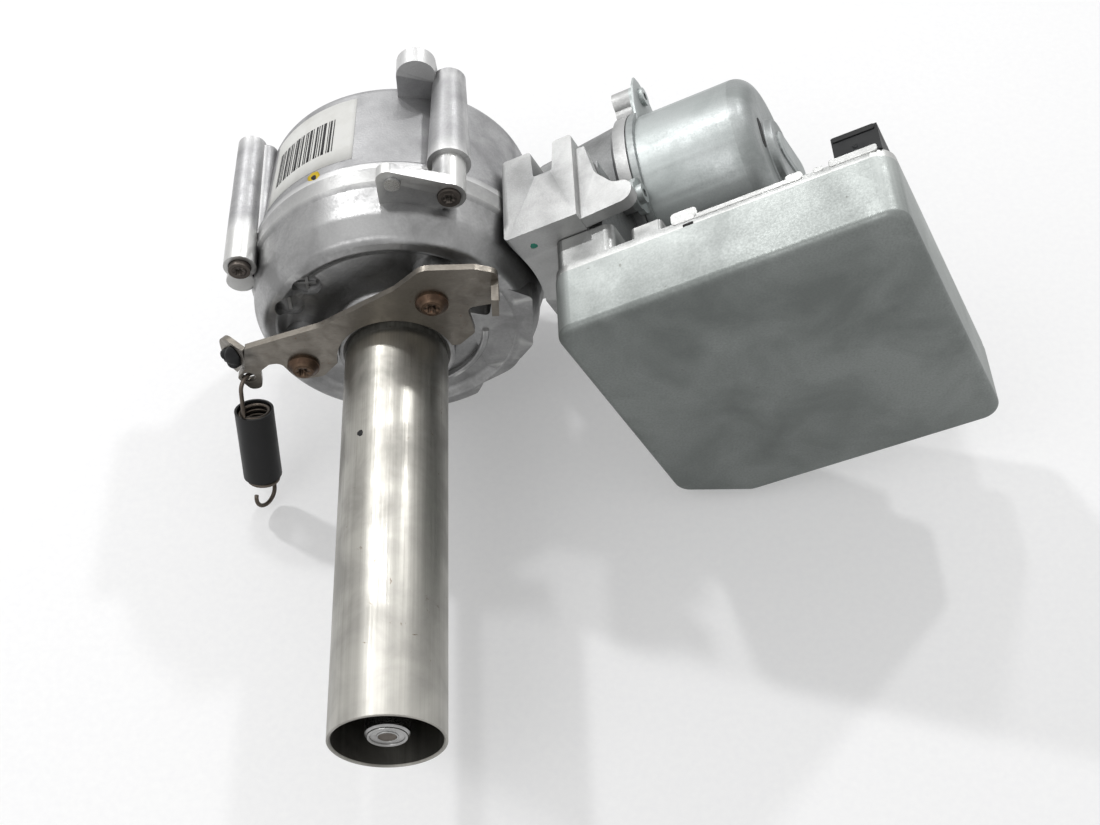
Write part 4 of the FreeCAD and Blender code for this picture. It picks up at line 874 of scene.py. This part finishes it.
@dataclass
class DrumLabel:
    """White paper label on the gear side's drum, with plain bars and no words.

    Attributes:
        first: Angle of one end round the column, in degrees.
        last: Angle of the other end.
        front: Edge nearer the open end.
        rear: Far edge.
        drum_radius: Radius of the drum where its taper starts.
        drum_front: Where the taper starts along the column.
        drum_taper: How much the radius falls for each millimetre.
        bars: Widths of the bars in turn, in degrees.
        gaps: Gaps between them in turn.
        ends: Bare paper before and after the bars, in degrees.
        sides: Bare paper in front of the bars and behind them.
        paper_lift: Height of the paper's lower side over the drum.
        ink_lift: Height of the bars' lower side.
        sheet: Thickness of the paper and of the bars.
        face: Angle of one face of the curved paper, in degrees.
    """

    first: float = 104.0
    last: float = 150.0
    front: float = 241.5
    rear: float = 283.0
    drum_radius: float = 65.0
    drum_front: float = 237.0
    drum_taper: float = 4.0 / 53.0
    bars: tuple[float, ...] = (0.45, 0.9, 0.35, 1.3, 0.6)
    gaps: tuple[float, ...] = (0.7, 0.45, 1.1, 0.6)
    ends: Flat = (9.0, 5.0)
    sides: Flat = (9.0, 11.0)
    paper_lift: float = 0.02
    ink_lift: float = 0.11
    sheet: float = 0.08
    face: float = 2.0

    def spot(self, angle: float, y: float, height: float) -> Vector:
        """Give a point of the tapered drum.

        Args:
            angle: Angle round the column, in degrees.
            y: Place along the column.
            height: Height over the drum.

        Returns:
            The point in millimetres.
        """
        radius = self.drum_radius - self.drum_taper * (y - self.drum_front) + height
        x, z = polar(radius, math.radians(angle))
        return Vector((x, y, z))

    def patch(self, name: str, angles: Flat, ys: Flat, lift: float, material: Material) -> None:
        """Make one thin patch of the label.

        Args:
            name: Name of the piece.
            angles: First and last angle.
            ys: First and last place along the column.
            lift: Height of its lower side over the drum.
            material: Its material.
        """
        steps = max(1, int(abs(angles[1] - angles[0]) / self.face))
        sheet_piece(name, lambda u, v, h: self.spot(
            angles[0] + (angles[1] - angles[0]) * u, ys[0] + (ys[1] - ys[0]) * v, lift + h),
            across=steps, along=4, thickness=self.sheet, material=material)

    def build(self, paper: Material, ink: Material) -> None:
        """Make the label and its bars.

        Args:
            paper: Material of the label.
            ink: Material of the bars.
        """
        self.patch("drum_label", (self.first, self.last), (self.front, self.rear), self.paper_lift, paper)
        length = (self.front + self.sides[0], self.rear - self.sides[1])
        angle = self.first + self.ends[0]
        number = 0
        while angle < self.last - self.ends[1]:
            wide = self.bars[number % len(self.bars)]
            self.patch(f"label_bar_{number}", (angle, angle + wide), length, self.ink_lift, ink)
            angle += wide + self.gaps[number % len(self.gaps)]
            number += 1


@dataclass
class PaintDab:
    """Small round dab of marker paint on a face that looks towards the open end or outwards.

    Attributes:
        name: Name of the piece.
        middle: Its middle in the row frame, in millimetres.
        facing: Direction that it faces.
        radius: Its radius.
        squeeze: Width over height.
        crown: Height of its middle.
        ragged: Heights of the slow and the quick waves of its edge, over its radius.
    """

    name: str
    middle: Vector
    facing: Vector
    radius: float
    squeeze: float = 1.0
    crown: float = 0.25
    ragged: Flat = (0.08, 0.05)

    def build(self, material: Material) -> None:
        """Make the dab as a low dome with a ragged edge.

        Args:
            material: Its material.
        """
        facing = self.facing.normalized()
        side = facing.orthogonal().normalized()
        other = facing.cross(side)
        rings = ((0.6, 0.2), (1.0, 0.02), (1.0, -0.3))
        number = 24
        slow, quick = self.ragged
        points = [self.middle + facing * self.crown]
        for share, height in rings:
            for turn in around(number):
                ragged = 1.0 + slow * math.sin(3 * turn + 1.0) + quick * math.sin(7 * turn)
                x, y = polar(share * self.radius * ragged, turn)
                points.append(self.middle + facing * height + side * (x * self.squeeze) + other * y)
        mesh_piece(self.name, points, dome_faces(number, len(rings)), material, "housing")


@dataclass
class PushClip:
    """Black push clip in the bracket's bent arm, with a lumpy head.

    Attributes:
        x: Middle of the clip where it meets the arm, in millimetres.
        y: The same, along the column.
        z: The same, upwards.
        bend: Angle of the arm, in degrees.
        shank: Radius of the shank.
        barb: How far the shank's barbs stand out.
        lift: How far the head's middle lies over the shank.
        shift: How far the head's middle lies towards the bracket.
        crown: Height of the head.
        head: Middle radius of the head.
        oval: Height and direction of the wave that makes the head oval.
        bulge: Height and turn of the wave that makes it three-sided.
    """

    x: float = -72.72
    y: float = 187.72
    z: float = -2.5
    bend: float = 45.0
    shank: float = 2.9
    barb: float = 0.6
    lift: float = 1.2
    shift: float = 0.9
    crown: float = 4.1
    head: float = 5.9
    oval: Flat = (1.1, 2.3)
    bulge: Flat = (0.7, 0.8)

    def reach(self, turn: float) -> float:
        """Give the head's radius in one direction."""
        return (self.head + self.oval[0] * math.cos(2 * (turn - self.oval[1]))
                + self.bulge[0] * math.cos(3 * turn + self.bulge[1]))

    def lump(self, turn: float) -> float:
        """Give how far the head's rim stands up in one direction."""
        return math.sin(2 * turn + 0.6) + 0.7 * math.sin(5 * turn)

    def build(self, material: Material) -> None:
        """Make the clip in the place of its plain CAD solid.

        Args:
            material: The black plastic.
        """
        lean = math.radians(self.bend)
        middle = Vector((self.x, self.y, self.z))
        out = Vector((-math.sin(lean), -math.cos(lean), 0.0))
        side = Vector((-math.cos(lean), math.sin(lean), 0.0))
        up = Vector((0.0, 0.0, 1.0))
        number = 40
        head_rings = ((0.2, 4.0), (0.4, 3.9), (0.6, 3.4), (0.8, 2.5), (0.94, 1.5), (1.0, 0.7), (1.0, 0.12))
        shank_rings = ((self.shank, 0.05), (self.shank, -3.2), (self.shank + self.barb, -3.6),
                       (self.shank + self.barb, -4.4), (self.shank - self.barb, -6.0))
        head = middle + up * self.lift - side * self.shift
        points = [head + out * self.crown]
        for share, height in head_rings:
            for turn in around(number):
                lump = self.lump(turn) * share if height > 1.0 else 0.0
                rise = max(height + lump, head_rings[-1][1])
                x, z = polar(self.reach(turn) * share, turn)
                points.append(head + out * rise + side * x + up * z)
        for radius, height in shank_rings:
            points += [middle + out * height + side * x + up * z for x, z in circle(radius, number)]
        faces = dome_faces(number, len(head_rings) + len(shank_rings))
        clip = mesh_piece("push_clip", points, faces, material, "housing")
        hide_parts("bracket_clip")


@dataclass
class ShaftEnd:
    """Turned rings on the end of the steering shaft, seen down the tube, and a dark disc in their middle
    painted as the shade of its centre hole.

    Attributes:
        y: Place of the shaft's end along the column, in millimetres.
        ring: Radius of the ring's middle line, and of its wire.
        inner: The same two of the inner ring.
        centre: Radius of the dark disc painted as the centre hole's shade.
        proud: How far the centre stands over the shaft's end.
    """

    y: float = 2.2
    ring: Flat = (7.1, 0.7)
    inner: Flat = (3.9, 0.4)
    centre: float = 3.5
    proud: float = 0.02

    def build(self, steel: Material, hole_shade_steel: Material) -> None:
        """Make the rings and the dark disc of painted hole shade, which turn with the shaft.

        Args:
            steel: The shaft's steel.
            hole_shade_steel: The dark spring steel of the disc painted as the centre hole's shade.
        """
        for name, (radius, wire) in (("shaft_end_ring", self.ring), ("shaft_end_step", self.inner)):
            ring = [Vector((x, self.y, z)) for x, z in circle(radius, 72)]
            tube_piece(name, [*ring, ring[0]], wire, steel, "input")
        # dark disc painted as the shade inside the shaft's centre hole
        plate_piece("shaft_end_hole_shade", circle(self.centre, 36),
                    lambda x, z, height: Vector((x, self.y - self.proud - height, z)), hole_shade_steel, "input",
                    thickness=0.15, bevel=0.05)


@dataclass
class MotorEnd:
    """Strap and rivet on the end of the motor's can, a dark sheet painted as the shade inside its slot, and
    the pointed ear of its flange.

    Attributes:
        axis_y: Place of the motor's axis along the column.
        axis_z: Height of the motor's axis in the drive's frame.
        face: Distance of the can's end face along the worm's direction.
        flange: Distance of the flange's ears.
        strap: Middles of the strap's round ends from the motor's axis, and half of its width.
        slot: The same of the dark sheet painted as the slot's shade.
        rivet: Middle of the rivet from the motor's axis, and its height over the end face.
        rivet_radius: Radius of the rivet.
        ear: Radius and angle of the pointed ear's corners round the motor's axis.
    """

    axis_y: float = 275.0
    axis_z: float = -57.5
    face: float = 168.0
    flange: float = 113.0
    strap: tuple[Flat, Flat, float] = ((1.0, 4.0), (8.0, -24.0), 6.5)
    slot: tuple[Flat, Flat, float] = ((-9.0, 19.5), (0.0, 22.5), 2.8)
    rivet: Point = (26.0, -9.0, 0.3)
    rivet_radius: float = 3.4
    ear: tuple[Flat, ...] = (
        (39.0, 2.0), (48.0, 10.0), (56.0, 19.0), (60.0, 27.0), (61.0, 32.0), (56.0, 39.0), (47.0, 49.0),
        (39.0, 60.0), (38.0, 45.0), (38.0, 30.0), (38.0, 15.0))

    def on_end(self, y: float, z: float, height: float) -> Vector:
        """Give a place on the can's end face, from its middle."""
        return from_drive(self.face + height, self.axis_y + y, self.axis_z + z)

    def on_flange(self, y: float, z: float, height: float) -> Vector:
        """Give a place on the flange's ears, from the motor's axis."""
        return from_drive(self.flange + height, self.axis_y + y, self.axis_z + z)

    def build(self, steel: Material, dark: Material) -> None:
        """Make the four pieces.

        Args:
            steel: The can's plated steel.
            dark: The black paint of the sheet painted as the shade inside the slot.
        """
        ear = [polar(radius, math.radians(angle)) for radius, angle in self.ear]
        plate_piece("can_strap", stadium(*self.strap), self.on_end, steel, "housing", thickness=5.6, bevel=1.2)
        # dark sheet painted as the shade inside the slot
        plate_piece("can_slot_shade", stadium(*self.slot), self.on_end, dark, "housing", thickness=0.2, bevel=0.05)
        rivet = self.on_end(*self.rivet)
        PaintDab("can_rivet", rivet, from_drive(1.0, 0.0, 0.0), self.rivet_radius).build(steel)
        plate_piece("flange_ear_plate", ear, self.on_flange, steel, "housing", thickness=1.1, bevel=0.3)


@dataclass
class UnitRim:
    """Cast pads and beads along the control unit's upper rim, and the lip of its connector.

    Attributes:
        top: Height of the rim's upper side in the drive's frame.
        back: Where the base's flat back lies along the column.
        sunk: How far the pads' undersides lie below the rim's upper side.
        bend: Radius of a pad's corners over its shorter side.
        pip: Place of the connector's pip in the drive's frame, from the base's flat back.
        pip_radius: Radius of the pip.
    """

    top: float = 9.6
    back: float = 189.5
    sunk: float = 1.0
    bend: float = 0.3
    pip: Point = (215.0, 5.6, 9.05)
    pip_radius: float = 1.1

    def on_top(self, x: float, y: float, height: float) -> Vector:
        """Give a place on the rim's upper side."""
        return from_drive(x, y, self.top - self.sunk + height)

    def pad(self, name: str, x: Flat, y: Flat, height: float, material: Material) -> None:
        """Make one pad with round corners.

        Args:
            name: Name of the pad.
            x: Its ends along the worm's direction.
            y: Its ends along the column, from the base's flat back.
            height: Its height over its underside.
            material: Its material.
        """
        left, right = x
        near, far = (self.back + end for end in y)
        bend = min(right - left, far - near) * self.bend
        corners = ((right - bend, near + bend), (right - bend, far - bend),
                   (left + bend, far - bend), (left + bend, near + bend))
        outline = [place for number, corner in enumerate(corners)
                   for place in arc(corner, bend, (number - 1) * math.pi / 2, math.pi / 2, 4)]
        plate_piece(name, outline, self.on_top, material, "housing", thickness=height, bevel=0.2)

    def build(self, cast: Material, plastic: Material, dark: Material) -> None:
        """Make the pads, the bead, a dark patch painted as the notch's shade, and the connector's lip.

        Args:
            cast: The base's cast aluminium.
            plastic: The connector's plastic.
            dark: The black paint of the patch painted as the notch's shade.
        """
        for name, x, y, height, material in (
                ("rim_pad_left", (136.0, 147.5), (-1.0, 5.5), 1.3, cast),
                ("rim_bead", (146.0, 190.0), (-1.2, 1.2), 1.3, cast),
                ("rim_pad_right", (185.5, 192.5), (-1.4, 3.0), 1.35, cast),
                ("rim_pad_small", (197.0, 201.0), (-1.0, 1.6), 1.25, cast),
                # dark patch painted as the shade inside the notch
                ("rim_notch_shade", (140.8, 145.6), (-3.9, -2.0), 1.1, dark),
                ("connector_rim", (203.5, 223.2), (-1.0, 2.6), 1.3, cast),
                ("connector_lip", (206.2, 223.9), (11.2, 13.9), 0.95, plastic)):
            self.pad(name, x, y, height, material)
        x, y, z = self.pip
        pip = from_drive(x, self.back + y, z)
        PaintDab("connector_pip", pip, from_drive(0.0, 0.0, 1.0), self.pip_radius).build(plastic)


@dataclass(frozen=True)
class Lamp:
    """One square soft lamp.

    Attributes:
        name: Its name.
        place: Its place in metres.
        aim: The point that it looks at.
        size: Length of its side in metres.
        power: Its power in watts.
    """

    name: str
    place: Point
    aim: Point
    size: float
    power: float


LAMPS = (
    Lamp("key_light", (-0.70, 1.00, 1.15), (0.05, 0.2, 0.0), 0.08, 7.2),
    Lamp("second_light", (0.60, 1.15, 1.10), (0.05, 0.2, 0.0), 0.08, 4.6),
    Lamp("third_light", (-0.15, 0.95, 1.35), (0.05, 0.2, 0.0), 0.10, 3.2),
    Lamp("front_light", (-0.55, -0.45, 1.0), (0.0, 0.2, 0.0), 0.7, 3.2),
)


@dataclass
class Studio:
    """Pale floor, soft lights and the camera.

    Attributes:
        lens: Focal length in millimetres.
        camera: Place of the camera in metres.
        right: The picture's direction to the right.
        up: The picture's upward direction.
        glow: How far the floor is lifted to white in the picture.
        fill: Strength of the surround's light on matte surfaces.
        reach: Half of the floor's width in metres.
        sensor: Width of the camera's sensor in millimetres.
        view: Nearest and farthest distance that the camera sees, in metres.
        floor: The floor's two close colours.
    """

    lens: float = 51.26
    camera: Point = (0.0501, -0.2519, 0.5334)
    right: Point = (0.9989, -0.0390, 0.0)
    up: Point = (0.0312, 0.7983, 0.6015)
    glow: float = 0.26
    fill: float = 0.52
    reach: float = 6.0
    sensor: float = 36.0
    view: Flat = (0.01, 50.0)
    floor: tuple[str, str] = ("#F4F4F4", "#F0F0F1")

    def place_camera(self) -> None:
        """Put the camera where the photograph was taken from."""
        data = bpy.data.cameras.new("studio_camera")
        data.lens = self.lens
        data.sensor_width = self.sensor
        data.clip_start, data.clip_end = self.view
        camera = bpy.data.objects.new("studio_camera", data)
        right = Vector(self.right).normalized()
        up = (Vector(self.up) - right * right.dot(Vector(self.up))).normalized()
        back = right.cross(up)
        turned = Matrix((right, up, back)).transposed().to_4x4()
        turned.translation = Vector(self.camera)
        camera.matrix_world = turned
        bpy.context.scene.collection.objects.link(camera)
        bpy.context.scene.camera = camera

    def seen(self, tree: bpy.types.NodeTree) -> Socket:
        """Give a value that is one for rays that show the background.

        Args:
            tree: The node tree that takes the nodes.

        Returns:
            One for rays of the camera, of gloss and through glass, and zero for the rest.
        """
        path = add_node(tree, "ShaderNodeLightPath")
        value = path.outputs["Is Camera Ray"]
        for ray in ("Is Glossy Ray", "Is Transmission Ray"):
            value = add_node(tree, "ShaderNodeMath", {0: value, 1: path.outputs[ray]},
                             operation="MAXIMUM").outputs[0]
        return value

    def lay_floor(self, height: float) -> None:
        """Lay a pale floor that looks white to the camera and keeps the shadows.

        Args:
            height: Height of the floor in metres.
        """
        s = Surface("board_painted_white")
        fine = s.noise(3.0, 4.0)
        colour = s.mix(s.span(fine, 0.3, 0.7), *(linear(code) for code in self.floor))
        matte = s.shader(colour, s.span(fine, 0.2, 0.8, 0.5, 0.6), 0.0, s.bump(fine, 0.01))
        share = s.times(self.seen(s.tree), self.glow)
        white = add_node(s.tree, "ShaderNodeEmission", {"Color": linear("#FFFFFF"), "Strength": 1.0})
        blend = add_node(s.tree, "ShaderNodeMixShader", {0: share, 1: matte, 2: white.outputs[0]})
        mesh = bpy.data.meshes.new("studio_floor")
        reach = self.reach
        mesh.from_pydata([(-reach, -reach, height), (reach, -reach, height), (reach, reach, height),
                          (-reach, reach, height)], [], [(0, 1, 2, 3)])
        mesh.materials.append(s.close(blend.outputs[0]))
        floor = bpy.data.objects.new("studio_floor", mesh)
        bpy.context.scene.collection.objects.link(floor)
        floor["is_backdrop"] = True

    def hang_lamps(self) -> None:
        """Hang the square soft lamps."""
        for lamp in LAMPS:
            data = bpy.data.lights.new(lamp.name, "AREA")
            data.shape = "SQUARE"
            data.size = lamp.size
            data.energy = lamp.power
            light = bpy.data.objects.new(lamp.name, data)
            light.location = lamp.place
            light.rotation_mode = "QUATERNION"
            light.rotation_quaternion = (Vector(lamp.aim) - Vector(lamp.place)).to_track_quat("-Z", "Y")
            bpy.context.scene.collection.objects.link(light)
            LOG.info("hung %s", lamp.name)

    def light_world(self) -> None:
        """Set a white surround that the camera and the metals see at full white."""
        world = bpy.data.worlds.new("studio_world")
        world.use_nodes = True
        bpy.context.scene.world = world
        tree = world.node_tree
        tree.nodes.clear()
        power = add_node(tree, "ShaderNodeMapRange", {
            "Value": self.seen(tree), "From Min": 0.0, "From Max": 1.0, "To Min": self.fill, "To Max": 1.0})
        background = add_node(tree, "ShaderNodeBackground", {
            "Color": linear("#FFFFFF"), "Strength": power.outputs[0]})
        add_node(tree, "ShaderNodeOutputWorld", {"Surface": background.outputs[0]})


def main() -> None:
    """Dress the CAD nodes, add the fine pieces, and set up the studio."""
    logging.basicConfig(level=logging.INFO, format="%(message)s")
    cad_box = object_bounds()
    made = dress_nodes(frame["record"], frame["nodes"])

    HangingSpring().build(made["spring_steel"])
    for number, angle in enumerate(TOWER_ANGLES):
        x, z = polar(BOLT_CIRCLE, math.radians(angle))
        DriverRecess(f"tower_recess_{number}", x, TOWER_HEAD_Y, z, *TOWER_RECESS).build(made["screw_steel"])
    for number, (x, z) in enumerate(BRACKET_HEADS):
        DriverRecess(f"bracket_recess_{number}", x, BRACKET_HEAD_Y, z, *BRACKET_RECESS).build(
            made["button_steel"])
    DrumLabel().build(PAPER.build(), INK.build())
    dark, yellow, green = (paint.build() for paint in (BLACK_PAINT_AND_SHADE, YELLOW_PAINT, GREEN_PAINT))
    for name, middle, facing, radius, squeeze, paint in (
            ("yellow_dab", (-32.0, 235.2, 58.2), (-0.48, -0.1, 0.87), 3.6, 0.8, yellow),
            ("black_dab", (-32.1, 235.1, 58.4), (-0.48, -0.1, 0.87), 1.5, 0.8, dark),
            ("green_dab", (61.1, 205.0, 44.1), (0.0, -1.0, 0.0), 1.6, 1.0, green),
            ("tube_speck", (-12.5, 127.9, 18.7), (-0.556, 0.0, 0.831), 1.7, 0.8, dark)):
        PaintDab(name, Vector(middle), Vector(facing), radius, squeeze).build(paint)

    PushClip().build(made["black_plastic"])
    # the dark spring steel also paints the shade of the shaft's centre hole
    ShaftEnd().build(made["shaft_steel"], made["spring_steel"])
    MotorEnd().build(made["plated_steel"], dark)
    UnitRim().build(made["base_cast_aluminium"], made["black_plastic"], dark)

    studio = Studio()
    studio.place_camera()
    studio.lay_floor(cad_box[0].z)
    studio.light_world()
    studio.hang_lamps()
    bpy.context.scene.view_settings.view_transform = "Standard"


if __name__ == "__main__":
    main()
